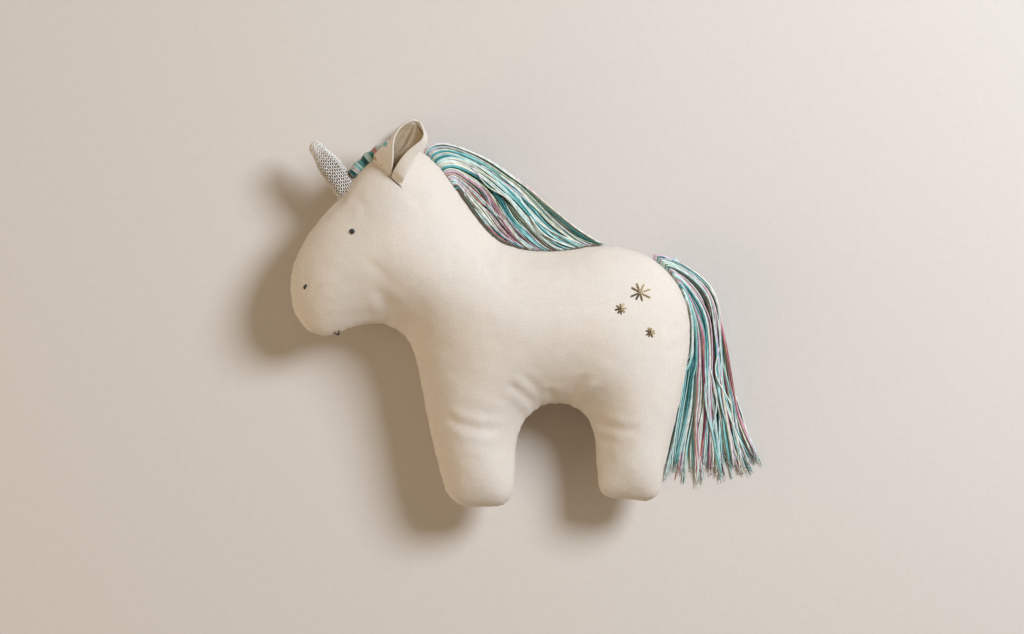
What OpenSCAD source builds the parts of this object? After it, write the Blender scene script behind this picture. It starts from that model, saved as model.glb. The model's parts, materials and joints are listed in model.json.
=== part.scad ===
// Plush unicorn of stuffed cotton, lying on its far side.
// X runs from nose to tail, Y from feet to crest, Z from the floor up to the near side.
// The origin is on the floor, under the middle of the barrel.

/* [Body] */
// Length from the nose to the rump
body_length = 343; // [290:1:400]
// Height from the feet to the crest
body_height = 309; // [260:1:360]
// Thickness of the stuffed barrel before it settles
body_thickness = 100; // [84:1:120]
// How far the barrel flattens on the floor
settle = 4; // [2:0.5:6]
// How round the panels rise from the seam, lower is rounder
fullness = 0.6; // [0.55:0.01:0.7]
// Thickness of the cotton panels with their batting
wall = 1.2; // [0.8:0.1:2]
// Slack between the filling and the panels
fill_gap = 0.3; // [0.3:0.1:0.6]

/* [Face] */
// Diameter of an embroidered eye
eye_d = 4.2; // [3:0.1:7]
// Length of a nostril stitch
nostril_length = 5; // [3:0.1:7]
// Width of a nostril stitch
nostril_width = 2; // [1.4:0.1:3]
// Length of each arm of the mouth stitch
mouth_length = 4; // [3:0.1:6]

/* [Stars] */
// Ray length of the large star
large_ray = 8.5; // [6:0.1:11]
// Ray length of the medium star
medium_ray = 4.8; // [3.5:0.1:6]
// Ray length of the small star
small_ray = 4.3; // [3:0.1:6]
// Rays of each star
ray_count = 8; // [6:1:10]
// Thickness of the embroidery thread
thread_d = 0.9; // [0.6:0.1:1.4]

/* [Horn] */
// Length from the head to the tip
horn_length = 46; // [40:1:65]
// Diameter of the lower half
horn_d = 20; // [16:0.5:26]
// Diameter just below the rounded tip
horn_tip_d = 12; // [9:0.5:14]
// Thickness of the knitted cover
horn_wall = 1.4; // [1:0.1:2]
// How far the horn tilts each way
horn_tilt = 12; // [5:1:15]

/* [Ears] */
// Length from the dart to the tip
ear_length = 52; // [40:1:62]
// Width along the dart
ear_width = 32; // [26:1:40]
// How deep the ear is cupped
ear_cup = 7; // [4:0.5:9]
// Thickness of the outer cloth and of the lining
ear_cloth = 0.8; // [0.6:0.1:1.2]

/* [Mane and tail] */
// Where the longest mane lock ends, measured along the back from the middle of the barrel
mane_reach = 42; // [0:1:70]
// Width of a mane lock
mane_lock_w = 8.5; // [7:0.1:10.2]
// Length of the tail below its whipping
tail_length = 174; // [120:1:200]
// Width of a tail lock
tail_lock_w = 5.5; // [4.5:0.1:6.6]
// Height of one layer of locks
lock_h = 8; // [5:0.5:10]
// Diameter of the whipping that binds the locks
whipping_d = 14; // [10:1:16]
// Diameter of one bundle of the forelock
forelock_d = 4.2; // [3:0.1:5]
// Clearance between pieces that move past each other
clearance = 0.5; // [0.4:0.1:1]

/* [Hidden] */
$fn = 48;
LANES = 4;

COTTON = [0.9, 0.86, 0.79];
LINING = [0.74, 0.64, 0.5];
GOLD = [0.62, 0.48, 0.28];
DARK = [0.22, 0.2, 0.2];
KNIT = [0.85, 0.76, 0.64];
WADDING = [0.96, 0.95, 0.93];
YARNS = [[0.24, 0.6, 0.59], [0.85, 0.54, 0.66], [0.62, 0.85, 0.78], [0.69, 0.29, 0.42]];

// The body's seam line, counter-clockwise from the forehead, for a 343 by 309 body
PATTERN_LENGTH = 343;
PATTERN_HEIGHT = 309;
PATTERN = [
    [-189, 102], [-206, 86], [-229, 44], [-227, 5], [-215, -11], [-199, -15], [-177, -8],
    [-150, -3], [-133, -12], [-123, -35], [-110, -99], [-102, -131], [-97, -150], [-86, -159],
    [-48, -159], [-39, -152], [-37, -134], [-37, -108], [-29, -83], [-13, -72], [6, -71],
    [22, -81], [29, -99], [30, -124], [31, -144], [39, -152], [58, -153], [75, -155],
    [85, -150], [88, -133], [94, -103], [103, -69], [110, -30], [110, 4], [100, 32], [82, 51],
    [58, 61], [31, 64], [0, 59], [-27, 60], [-48, 66], [-65, 80], [-96, 123], [-113, 141],
    [-133, 149], [-155, 142], [-175, 124]
];
// How close the surface points lie along the seam
seam_pitch = 14;
// Shares of the way from the seam to the middle line at which the surface is measured
RINGS = [0, 0.03, 0.1, 0.22, 0.4, 0.65, 0.88];
seam_z = body_thickness / 2 - settle;
// Depth over which the panel's thickness turns from sideways to upright
seam_turn = 10;

function point_at(x, y) = [x * body_length / PATTERN_LENGTH, y * body_height / PATTERN_HEIGHT];
function lerp(a, b, t) = a + (b - a) * t;
function unit(v) = v / norm(v);
function total(v) = v * [for (x = v) 1];
function turned(list) = [for (i = [len(list) - 1:-1:0]) list[i]];
function wrap(list, i) = list[(i + len(list)) % len(list)];
function smooth(t) = let (u = max(0, min(1, t))) u * u * (3 - 2 * u);

// A smooth curve from b to c, with a and d on either side
function curve(a, b, c, d, t) =
    0.5 * (2 * b + (c - a) * t + (2 * a - 5 * b + 4 * c - d) * t * t
    + (3 * b - a - 3 * c + d) * t * t * t);

CORNERS = [for (p = PATTERN) point_at(p.x, p.y)];
EDGE = [
    for (i = [0:len(CORNERS) - 1])
    let (b = CORNERS[i], c = wrap(CORNERS, i + 1), steps = max(1, round(norm(c - b) / seam_pitch)))
    for (k = [0:steps - 1])
    curve(wrap(CORNERS, i - 1), b, c, wrap(CORNERS, i + 2), k / steps)
];
COUNT = len(EDGE);
INWARD = [
    for (i = [0:COUNT - 1])
    let (t = unit(wrap(EDGE, i + 1) - wrap(EDGE, i - 1)))
    [-t.y, t.x]
];
// The radius of the largest circle inside the seam that touches it at each point
REACH = [
    for (i = [0:COUNT - 1])
    min([
        for (j = [0:COUNT - 1])
        let (q = EDGE[j] - EDGE[i], lean = q * INWARD[i])
        if (lean > 0.05 * norm(q) && j != i) q * q / (2 * lean)
    ])
];

// A rounded distance from the seam, from the pull of every stretch of it
function edge_pull(p, a, b) =
    let (u = unit(b - a), s = (a - p) * u, e = (b - p) * u,
         gap = max(0.001, (a - p) * (a - p) - s * s))
    (e / sqrt(gap + e * e) - s / sqrt(gap + s * s)) / gap;
function edge_distance(p) =
    sqrt(2 / total([for (i = [0:COUNT - 1]) edge_pull(p, EDGE[i], wrap(EDGE, i + 1))]));
puff = body_thickness / 2 / pow(edge_distance([0, 0]), fullness);
// Height of the stuffed side over the seam plane, for a surface that lies inset inside it
function swell(p, inset, least = 0) =
    let (d = max(least, edge_distance(p) - inset))
    puff * pow(d, fullness) - inset * min(1, d / seam_turn);
// How far inside the seam the surface has risen by h
function depth_at(h) = pow(abs(h) / puff, 1 / fullness);

function layer(side, inset, first) = [
    for (k = [first:len(RINGS) - 1])
    for (i = [0:COUNT - 1])
    let (in = (REACH[i] - inset) * RINGS[k], p = EDGE[i] + INWARD[i] * (inset + in),
         h = k == 0 ? 0 : swell(p, inset, in / 2))
    [p.x, p.y, side > 0 ? seam_z + h : seam_z - min(h, seam_z - inset)]
];
function rows(count, width, first) = [
    for (k = [0:count - 1]) [for (i = [0:width - 1]) first + k * width + i]
];
// Two triangles for every square between neighbouring rows
function bands(rows, out) = [
    for (k = [0:len(rows) - 2])
    for (i = [0:len(rows[k]) - 1])
    let (a = rows[k][i], b = rows[k + 1][i], c = wrap(rows[k + 1], i + 1), d = wrap(rows[k], i + 1))
    for (f = [[a, b, c], [a, c, d]])
    out ? f : turned(f)
];

// Triangles that fill the innermost ring, cut off one corner at a time
function side_of(a, b, p) = (b.x - a.x) * (p.y - a.y) - (b.y - a.y) * (p.x - a.x);
function holds(a, b, c, p) = side_of(a, b, p) >= 0 && side_of(b, c, p) >= 0 && side_of(c, a, p) >= 0;
function corner_free(loop, pts, i) =
    let (a = pts[wrap(loop, i - 1)], b = pts[loop[i]], c = pts[wrap(loop, i + 1)])
    side_of(a, b, c) > 0.01
    && len([for (j = loop) let (p = pts[j]) if (p != a && p != b && p != c && holds(a, b, c, p)) j]) == 0;
// The free corner with the shortest cut across it
function best_corner(loop, pts) =
    let (cuts = [
        for (i = [0:len(loop) - 1])
        corner_free(loop, pts, i) ? norm(pts[wrap(loop, i + 1)] - pts[wrap(loop, i - 1)]) : body_length
    ])
    search(min(cuts), cuts)[0];
function fill_loop(loop, pts, found = []) =
    len(loop) < 4 ? concat(found, [loop]) :
    let (i = best_corner(loop, pts))
    fill_loop([for (k = [0:len(loop) - 1]) if (k != i) loop[k]], pts,
              concat(found, [[wrap(loop, i - 1), loop[i], wrap(loop, i + 1)]]));
function middle_triangles() =
    let (last = RINGS[len(RINGS) - 1],
         pts = [for (i = [0:COUNT - 1]) EDGE[i] + INWARD[i] * REACH[i] * last])
    fill_loop([for (i = [0:COUNT - 1]) i], pts);
function skin(rows, middle, out) = concat(
    bands(rows, out),
    [for (f = middle) let (g = [for (i = f) rows[len(rows) - 1][i]]) out ? turned(g) : g]
);

module side_panel(side) {
    outer = layer(side, 0, 0);
    inner = layer(side, wall, 0);
    outer_rows = rows(len(RINGS), COUNT, 0);
    inner_rows = rows(len(RINGS), COUNT, len(outer));
    middle = middle_triangles();
    polyhedron(
        concat(outer, inner),
        concat(
            skin(outer_rows, middle, side > 0),
            skin(inner_rows, middle, side < 0),
            bands([inner_rows[0], outer_rows[0]], side > 0)
        )
    );
}

module side_panel_near() { color(COTTON) side_panel(1); }
module side_panel_far() { color(COTTON) side_panel(-1); }

module body_filling() {
    inset = wall + fill_gap;
    near = layer(1, inset, 0);
    far = layer(-1, inset, 1);
    near_rows = rows(len(RINGS), COUNT, 0);
    far_rows = concat([near_rows[0]], rows(len(RINGS) - 1, COUNT, len(near)));
    middle = middle_triangles();
    color(WADDING)
    polyhedron(concat(near, far), concat(skin(near_rows, middle, true), skin(far_rows, middle, false)));
}

// Places on the near side's surface
function surface_z(p) = seam_z + swell(p, 0);
function surface_point(p) = [p.x, p.y, surface_z(p)];
function surface_normal(p) =
    let (step = 3,
         dx = (surface_z(p + [step, 0]) - surface_z(p - [step, 0])) / (2 * step),
         dy = (surface_z(p + [0, step]) - surface_z(p - [0, step])) / (2 * step))
    unit([-dx, -dy, 1]);
// The seam point nearest to a place on the pattern
function nearest(p) = let (away = [for (e = EDGE) norm(e - p)]) search(min(away), away)[0];

module on_surface(p, sink) {
    n = surface_normal(p);
    translate(surface_point(p) - n * sink)
    rotate([0, acos(n.z), atan2(n.y, n.x)])
    rotate([0, 0, -atan2(n.y, n.x)])
    children();
}
module far_side() {
    translate([0, 0, 2 * seam_z]) mirror([0, 0, 1]) children();
}
module rod(a, b, d) {
    run = b - a;
    translate(a)
    rotate([0, acos(run.z / norm(run)), atan2(run.y, run.x)])
    cylinder(d = d, h = norm(run), $fn = 16);
}

// How deep embroidery is worked into the cloth, and how far it stands over it
stitch_sink = 0.7;
stitch_rise = 0.5;
EYE = point_at(-175.6, 74.5);
NOSTRIL = point_at(-215.6, 28);
NOSTRIL_SLANT = 62;
MOUTH = point_at(-190, -12);

module eye() {
    color(DARK) on_surface(EYE, stitch_sink) cylinder(d = eye_d, h = stitch_sink + stitch_rise);
}
module nostril() {
    straight = nostril_length - nostril_width;
    color(DARK)
    on_surface(NOSTRIL, stitch_sink)
    rotate(NOSTRIL_SLANT)
    union() {
        translate([-straight / 2, -nostril_width / 2, 0])
        cube([straight, nostril_width, stitch_sink + stitch_rise]);
        for (s = [-1, 1]) translate([s * straight / 2, 0, 0])
        cylinder(d = nostril_width, h = stitch_sink + stitch_rise);
    }
}
module eye_near() { eye(); }
module eye_far() { far_side() eye(); }
module nostril_near() { nostril(); }
module nostril_far() { far_side() nostril(); }

// A small corner of two stitches that crosses the chin seam
module mouth_stitch() {
    i = nearest(MOUTH);
    out = [-INWARD[i].x, -INWARD[i].y, 0];
    along = [INWARD[i].y, -INWARD[i].x, 0];
    middle = [EDGE[i].x, EDGE[i].y, seam_z] + out * thread_d * 0.2;
    rise = mouth_length * 0.8;
    color(DARK)
    union() {
        for (s = [-1, 1])
        rod(
            middle,
            middle + s * along * mouth_length * 0.6 + [0, 0, rise] - out * depth_at(rise),
            thread_d
        );
        translate(middle) sphere(d = thread_d);
    }
}

module star(p, ray) {
    color(GOLD)
    on_surface(p, stitch_sink)
    union() {
        cylinder(d = 2.2 * thread_d, h = stitch_sink + stitch_rise);
        for (k = [0:ray_count - 1])
        rotate(k * 360 / ray_count)
        translate([0, -thread_d / 2, 0])
        cube([ray, thread_d, stitch_sink + stitch_rise]);
    }
}
module star_large() { star(point_at(67, 23), large_ray); }
module star_medium() { star(point_at(50.7, 9.4), medium_ray); }
module star_small() { star(point_at(75.7, -10.4), small_ray); }

// Ladder stitches that close the stuffing gap, across the seam at the top of the arch
closing_count = 8;
closing_pitch = 4;
module closing_stitches() {
    first = nearest(point_at(-13, -72));
    last = nearest(point_at(10, -71.5));
    color(COTTON)
    union() {
        for (k = [0:closing_count - 1]) {
            share = k / (closing_count - 1);
            p = lerp(EDGE[first], EDGE[last], share);
            rod(
                [p.x, p.y, seam_z - closing_pitch / 2],
                [p.x, p.y, seam_z + closing_pitch / 2],
                thread_d
            );
        }
        a = EDGE[first];
        b = EDGE[last];
        rod([a.x, a.y, seam_z], [b.x, b.y, seam_z], thread_d * 0.8);
    }
}

// Horn: a knitted cover over a filling, sewn to the forehead
horn_index = nearest(point_at(-182.6, 112));
HORN_OUT = -INWARD[horn_index];
HORN_BASE = EDGE[horn_index] + HORN_OUT * 2 * clearance;
HORN_ANGLE = 126.6;
module on_forehead() {
    translate([HORN_BASE.x, HORN_BASE.y, seam_z])
    rotate([0, 0, HORN_ANGLE])
    rotate([0, 90, 0])
    children();
}
// Half outline of the horn, with a round end above, and below it enough to be cut to the forehead
function horn_outline(inset) =
    let (r = horn_d / 2 - inset, tip = horn_tip_d / 2 - inset, top = horn_length - horn_tip_d / 2)
    concat(
        [[0, -horn_d / 2], [r, -horn_d / 2]],
        [for (t = [0:0.1:1]) [lerp(r, tip, smooth(t)), lerp(horn_length * 0.42, top, t)]],
        [for (a = [15:15:75]) [tip * cos(a), top + tip * sin(a)]],
        [[0, top + tip]]
    );
// The horn's foot is a shallow cone over the forehead, which leaves room to tilt
horn_relief = horn_tilt + 3;
module horn_solid(inset) {
    reach = 2 * horn_length;
    intersection() {
        on_forehead() rotate_extrude() polygon(horn_outline(inset));
        translate([HORN_BASE.x + HORN_OUT.x * inset, HORN_BASE.y + HORN_OUT.y * inset, seam_z])
        rotate([0, 90, atan2(HORN_OUT.y, HORN_OUT.x)])
        cylinder(h = reach, r1 = 0, r2 = reach / tan(horn_relief));
    }
}
module horn_cover() {
    color(KNIT)
    difference() {
        horn_solid(0);
        horn_solid(horn_wall);
    }
}
module horn_filling() { color(WADDING) horn_solid(horn_wall + fill_gap); }
horn_stitch_count = 14;
module horn_stitches() {
    along = [HORN_OUT.y, -HORN_OUT.x];
    inner = horn_d / 2 + clearance + thread_d;
    color(KNIT)
    union() {
        for (k = [0:horn_stitch_count - 1]) {
            turn = k * 360 / horn_stitch_count;
            places = [
                for (r = [inner, inner + 2.5])
                let (sunk = depth_at(r * sin(turn)) + 0.2,
                     p = EDGE[horn_index] + along * r * cos(turn) - HORN_OUT * sunk)
                [p.x, p.y, seam_z + r * sin(turn)]
            ];
            rod(places[0], places[1], thread_d);
        }
    }
}

// Ears: a cupped outer cloth with a lining in front of it, standing on a dart in the panel
DART_HIGH = point_at(-157, 133.5);
DART_LOW = point_at(-134.5, 113.5);
// How high the ear's hinge line lies over the dart
ear_lift = 1.5;
DART_MIDDLE = (DART_HIGH + DART_LOW) / 2;
EAR_ACROSS = unit(surface_point(DART_LOW) - surface_point(DART_HIGH));
ear_lean = [0.42, 0.88, 0.1];
EAR_UP = unit(ear_lean);
EAR_FRONT = unit(cross(EAR_ACROSS, EAR_UP));
EAR_FOOT = surface_point(DART_MIDDLE) + surface_normal(DART_MIDDLE) * ear_lift;
// Space between the outer cloth and the lining
lining_gap = 0.8;
ear_columns = 8;
ear_rows = 9;
function ear_point(u, v, front) =
    let (half = ear_width / 2 * (1 - 0.3 * v) * sqrt(1 - 0.97 * pow(v, 4)),
         cup = ear_cup * (0.15 + 0.85 * sin(150 * v)))
    EAR_FOOT + EAR_UP * (ear_lift + v * (ear_length - ear_lift)) + EAR_ACROSS * half * u
    + EAR_FRONT * (front - cup * (1 - u * u));
module ear_layer(front, shrink) {
    side_shares = [for (i = [0:ear_columns]) 2 * i / ear_columns - 1];
    // Around each height: across the back, then back across the front
    loops = [
        for (k = [0:ear_rows])
        let (v = shrink + (1 - 2 * shrink) * k / ear_rows)
        concat(
            [for (u = side_shares) ear_point((1 - shrink) * u, v, front)],
            [for (u = turned(side_shares)) ear_point((1 - shrink) * u, v, front + ear_cloth)]
        )
    ];
    width = 2 * (ear_columns + 1);
    grid = rows(ear_rows + 1, width, 0);
    first = grid[0];
    last = grid[ear_rows];
    function strip(row, out) = [
        for (i = [0:ear_columns - 1])
        let (a = row[i], b = row[i + 1], c = row[width - 2 - i], d = row[width - 1 - i])
        for (f = [[a, b, c], [a, c, d]])
        out ? f : turned(f)
    ];
    polyhedron(
        [for (loop = loops) for (p = loop) p],
        concat(bands(grid, true), strip(first, true), strip(last, false))
    );
}
module ear_outer() { color(COTTON) ear_layer(0, 0); }
module ear_lining() { color(LINING) ear_layer(ear_cloth + lining_gap, 0.05); }
module ear_seam() {
    n = surface_normal(DART_MIDDLE);
    color(COTTON)
    union() {
        for (k = [0:9]) {
            a = lerp(DART_HIGH, DART_LOW, (k + 0.1) / 10);
            b = lerp(DART_HIGH, DART_LOW, (k + 0.9) / 10);
            rod(surface_point(a) - n * 0.25, surface_point(b) - n * 0.25, thread_d);
        }
    }
}
module ear_near() { ear_outer(); }
module ear_near_lining() { ear_lining(); }
module ear_near_seam() { ear_seam(); }
module ear_far() { far_side() ear_outer(); }
module ear_far_lining() { far_side() ear_lining(); }
module ear_far_seam() { far_side() ear_seam(); }

// A tube along a path, with its own half width and half height at each point, cut upright
lock_sides = 8;
function tube_ring(path, k, half_w, half_h) =
    let (t = path[min(k + 1, len(path) - 1)] - path[max(k - 1, 0)], across = unit([-t.y, t.x, 0]))
    [for (j = [0:lock_sides - 1])
     path[k] + across * half_w * cos(j * 360 / lock_sides) + [0, 0, half_h * sin(j * 360 / lock_sides)]];
module tube(path, half_ws, half_hs) {
    points = [for (k = [0:len(path) - 1]) for (p = tube_ring(path, k, half_ws[k], half_hs[k])) p];
    grid = rows(len(path), lock_sides, 0);
    polyhedron(points, concat(bands(grid, true), [grid[0], turned(grid[len(path) - 1])]));
}

// How far along the seam its points lie, from the one nearest a to the one nearest b
function seam_run(a, b) = [
    for (k = nearest(a), s = 0; k <= nearest(b); s = s + norm(wrap(EDGE, k + 1) - EDGE[k]), k = k + 1)
    [s, k]
];
function seam_length(a, b) = max([for (p = seam_run(a, b)) p[0]]);
// A place on the seam, part of the way from the point nearest a to the point nearest b
function seam_place(a, b, share) =
    let (s = lookup(share * seam_length(a, b), seam_run(a, b)), k = floor(s))
    [lerp(EDGE[k], wrap(EDGE, k + 1), s - k), unit(lerp(INWARD[k], wrap(INWARD, k + 1), s - k))];

// A bundle of yarn laid over the seam, from the near side round to the far side
over_steps = 10;
module over_seam(place, depth, reach, d, sweep) {
    out = [-place[1].x, -place[1].y, 0];
    along = [out.y, -out.x, 0];
    centre = [place[0].x, place[0].y, seam_z] - out * depth;
    loops = [
        for (k = [0:over_steps])
        let (a = lerp(-sweep, sweep, k / over_steps), spoke = out * cos(a) + [0, 0, sin(a)])
        [for (j = [0:lock_sides - 1])
         centre + spoke * (depth + reach + d / 2 * cos(j * 360 / lock_sides))
         + along * d / 2 * sin(j * 360 / lock_sides)]
    ];
    grid = rows(over_steps + 1, lock_sides, 0);
    polyhedron(
        [for (loop = loops) for (p = loop) p],
        concat(bands(grid, true), [grid[0], turned(grid[over_steps])])
    );
}

FORELOCK_FROM = point_at(-130, 148.5);
FORELOCK_TO = point_at(-165.5, 131.5);
forelock_depth = 6;
// How far the forelock bundles stand out from the seam, more on a rounder crest
forelock_lie = 0.02 * body_thickness;
forelock_gap = 0.15;
// As many bundles as the crest holds side by side
forelock_count = 1 + floor(seam_length(FORELOCK_FROM, FORELOCK_TO) / (forelock_d + forelock_gap));
module forelock() {
    for (k = [0:forelock_count - 1])
    color(YARNS[k % len(YARNS)])
    over_seam(
        seam_place(FORELOCK_FROM, FORELOCK_TO, k / (forelock_count - 1)),
        forelock_depth, forelock_d / 2 + forelock_lie, forelock_d, 56
    );
}

// Mane and tail: yarn roots caught in the seam, a round whipping, and locks that turn about it
root_d = 1.8;
root_count = 6;
root_reach = root_d / 2 + 0.5;
module yarn_root(from, to) {
    color(YARNS[2])
    union() {
        for (k = [0:root_count - 1])
        over_seam(seam_place(from, to, k / (root_count - 1)), 4, root_reach, root_d, 38);
    }
}
stand_off = root_reach + root_d / 2 + clearance + whipping_d / 2;
MANE_ROOT = seam_place(point_at(-104, 132.5), point_at(-104, 132.5), 0);
TAIL_ROOT = seam_place(point_at(95, 38), point_at(95, 38), 0);
MANE_PIVOT = MANE_ROOT[0] - MANE_ROOT[1] * stand_off;
TAIL_PIVOT = TAIL_ROOT[0] - TAIL_ROOT[1] * stand_off;
module whipping(pivot) {
    color(YARNS[3])
    translate([pivot.x, pivot.y, seam_z])
    sphere(d = whipping_d);
}
module mane_root() { yarn_root(point_at(-92, 117), point_at(-115, 142)); }
module tail_root() { yarn_root(point_at(103, 24), point_at(85, 49)); }
module mane_whipping() { whipping(MANE_PIVOT); }
module tail_whipping() { whipping(TAIL_PIVOT); }

lock_steps = 12;
function bezier(p, t) =
    pow(1 - t, 3) * p[0] + 3 * t * pow(1 - t, 2) * p[1] + 3 * t * t * (1 - t) * p[2] + pow(t, 3) * p[3];
// Full width at a third of the length, narrower at the whipping and at the tip
function taper(t) = lerp(0.55, 1, smooth(t / 0.35)) * lerp(1, 0.4, smooth((t - 0.55) / 0.45));
// How far along the locks reach the floor
lock_fall = 0.6;
// A fan is [pivot, first angle, last angle, low lane, high lane, lock width].
// A lane is the last three points of a lock's middle line.
function lock_start(fan, share) =
    let (turn = lerp(fan[1], fan[2], share),
         roomy = (LANES - 1) * (fan[5] * taper(0) + clearance) / ((fan[2] - fan[1]) * PI / 180),
         close = whipping_d / 2 + clearance + lock_h * 0.3)
    [fan[0].x, fan[0].y] + max(roomy, close) * [cos(turn), sin(turn)];
// The middle line of a lock of lane 0 to LANES - 1, in the layer on the floor or the one over it
function lock_path(fan, lane, level) =
    let (share = lane / (LANES - 1), route = concat([lock_start(fan, share)], lerp(fan[3], fan[4], share)))
    [for (k = [0:lock_steps])
     let (t = k / lock_steps, p = bezier(route, t), thick = lock_h * taper(t), gap = clearance,
          low = lerp(seam_z - (thick + gap) / 2, thick / 2 + gap, smooth(t / lock_fall)))
     [p.x, p.y, low + level * (thick + gap)]];
module lock(fan, i) {
    shares = [for (k = [0:lock_steps]) k / lock_steps];
    color(wrap(YARNS, i))
    tube(
        lock_path(fan, (i - 1) % LANES, floor((i - 1) / LANES)),
        [for (t = shares) fan[5] / 2 * taper(t)],
        [for (t = shares) lock_h / 2 * taper(t)]
    );
}
// How far the ends of the mane stay off the back
back_gap = 6;
function back_point(x) =
    let (p = EDGE[nearest([x, point_at(0, 60).y])]) [x, p.y + back_gap + mane_lock_w * 0.2];
MANE_FAN = [
    MANE_PIVOT, -75, 20,
    [point_at(-80, 113), point_at(-61, 88), back_point(point_at(-38, 0).x)],
    [
        point_at(-78, 113) + [0, 4.8 * mane_lock_w],
        point_at(-61, 90) + [5.5 * mane_lock_w, 0],
        back_point(mane_reach)
    ],
    mane_lock_w
];
module mane_lock(i) { lock(MANE_FAN, i); }
// The tail hangs clear of the rump, then spreads
rump_x = max([for (e = EDGE) e.x]);
tail_gap = tail_lock_w / 2 + 2;
function hang(x, share) = [rump_x + x, TAIL_PIVOT.y - tail_length * share];
TAIL_FAN = [
    TAIL_PIVOT, -80, 20,
    [hang(tail_gap + 6.5, 0.2), hang(tail_gap + 5.5, 0.62), hang(-8, 1.06)],
    [hang(6.7 * tail_lock_w, 0.085), hang(3.5 * tail_lock_w, 0.6), hang(50, 0.98)],
    tail_lock_w
];
module tail_lock(i) { lock(TAIL_FAN, i); }

side_panel_near();
side_panel_far();
body_filling();
closing_stitches();
eye_near();
eye_far();
nostril_near();
nostril_far();
mouth_stitch();
star_large();
star_medium();
star_small();
horn_cover();
horn_filling();
horn_stitches();
ear_near();
ear_near_lining();
ear_near_seam();
ear_far();
ear_far_lining();
ear_far_seam();
forelock();
mane_root();
mane_whipping();
tail_root();
tail_whipping();
mane_lock(1);  // mane_lock_1
mane_lock(2);  // mane_lock_2
mane_lock(3);  // mane_lock_3
mane_lock(4);  // mane_lock_4
mane_lock(5);  // mane_lock_5
mane_lock(6);  // mane_lock_6
mane_lock(7);  // mane_lock_7
mane_lock(8);  // mane_lock_8
tail_lock(1);  // tail_lock_1
tail_lock(2);  // tail_lock_2
tail_lock(3);  // tail_lock_3
tail_lock(4);  // tail_lock_4
tail_lock(5);  // tail_lock_5
tail_lock(6);  // tail_lock_6
tail_lock(7);  // tail_lock_7
tail_lock(8);  // tail_lock_8
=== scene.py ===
"""Looks for a stuffed cotton unicorn: cloth, embroidery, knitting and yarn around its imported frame."""

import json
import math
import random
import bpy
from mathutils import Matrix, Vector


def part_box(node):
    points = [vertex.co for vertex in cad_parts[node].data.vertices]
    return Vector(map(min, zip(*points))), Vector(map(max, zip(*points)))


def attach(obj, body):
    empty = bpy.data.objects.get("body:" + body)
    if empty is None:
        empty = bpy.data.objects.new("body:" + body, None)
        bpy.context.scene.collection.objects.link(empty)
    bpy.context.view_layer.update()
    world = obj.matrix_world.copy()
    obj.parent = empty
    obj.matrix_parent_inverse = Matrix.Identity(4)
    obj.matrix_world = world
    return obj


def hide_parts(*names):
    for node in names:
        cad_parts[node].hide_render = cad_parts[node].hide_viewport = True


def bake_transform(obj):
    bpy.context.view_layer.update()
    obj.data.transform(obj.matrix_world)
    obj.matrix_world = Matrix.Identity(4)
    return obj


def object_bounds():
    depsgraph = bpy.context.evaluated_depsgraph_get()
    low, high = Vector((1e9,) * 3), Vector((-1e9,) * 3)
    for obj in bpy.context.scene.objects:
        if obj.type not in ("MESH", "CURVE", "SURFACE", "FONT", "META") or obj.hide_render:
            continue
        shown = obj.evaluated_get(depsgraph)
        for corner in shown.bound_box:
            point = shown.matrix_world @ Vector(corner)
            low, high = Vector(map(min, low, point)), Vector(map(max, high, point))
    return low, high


bl_info = {
    "name": "Stuffed Unicorn Looks",
    "version": (1, 0, 0),
    "blender": (4, 5, 0),
    "location": "View3D > Sidebar > Stuffed Unicorn",
    "description": "Stuffs the cotton body, embroiders the face, knits the horn and threads the yarn",
    "category": "Object",
}

import bmesh
import bpy
import numpy as np
from bpy.props import FloatProperty, FloatVectorProperty, IntProperty, PointerProperty
from mathutils import Vector, kdtree, noise
from mathutils.bvhtree import BVHTree

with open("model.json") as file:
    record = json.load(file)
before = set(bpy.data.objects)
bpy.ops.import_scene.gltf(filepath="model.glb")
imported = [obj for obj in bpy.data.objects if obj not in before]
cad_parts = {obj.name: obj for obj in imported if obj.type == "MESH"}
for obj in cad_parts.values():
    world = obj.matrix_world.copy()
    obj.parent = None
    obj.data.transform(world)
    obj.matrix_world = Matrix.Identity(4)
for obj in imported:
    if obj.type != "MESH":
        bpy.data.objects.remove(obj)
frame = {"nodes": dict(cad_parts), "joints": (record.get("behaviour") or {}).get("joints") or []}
cad_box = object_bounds()

MM = 0.001
WELD = 0.01 * MM
NEAR, FAR = 1, -1
UP = np.array([0.0, 0.0, 1.0])


# ---------------------------------------------------------------- frame measures

def joint(name):
    return next(j for j in frame["joints"] if j["name"] == name)


def joint_place(name):
    return Vector(joint(name)["pos_m"])


def welded(name):
    """A CAD node's mesh with its split corners joined again."""
    bm = bmesh.new()
    bm.from_mesh(frame["nodes"][name].data)
    bmesh.ops.remove_doubles(bm, verts=bm.verts, dist=WELD)
    return bm


def node_arrays(name):
    """Points and edges of a welded CAD node."""
    bm = welded(name)
    bm.verts.index_update()
    points = np.array([v.co for v in bm.verts], float)
    edges = np.array([[v.index for v in e.verts] for e in bm.edges], int)
    bm.free()
    return points, edges


SEAM_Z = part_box("side_panel_near")[0].z


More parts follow.
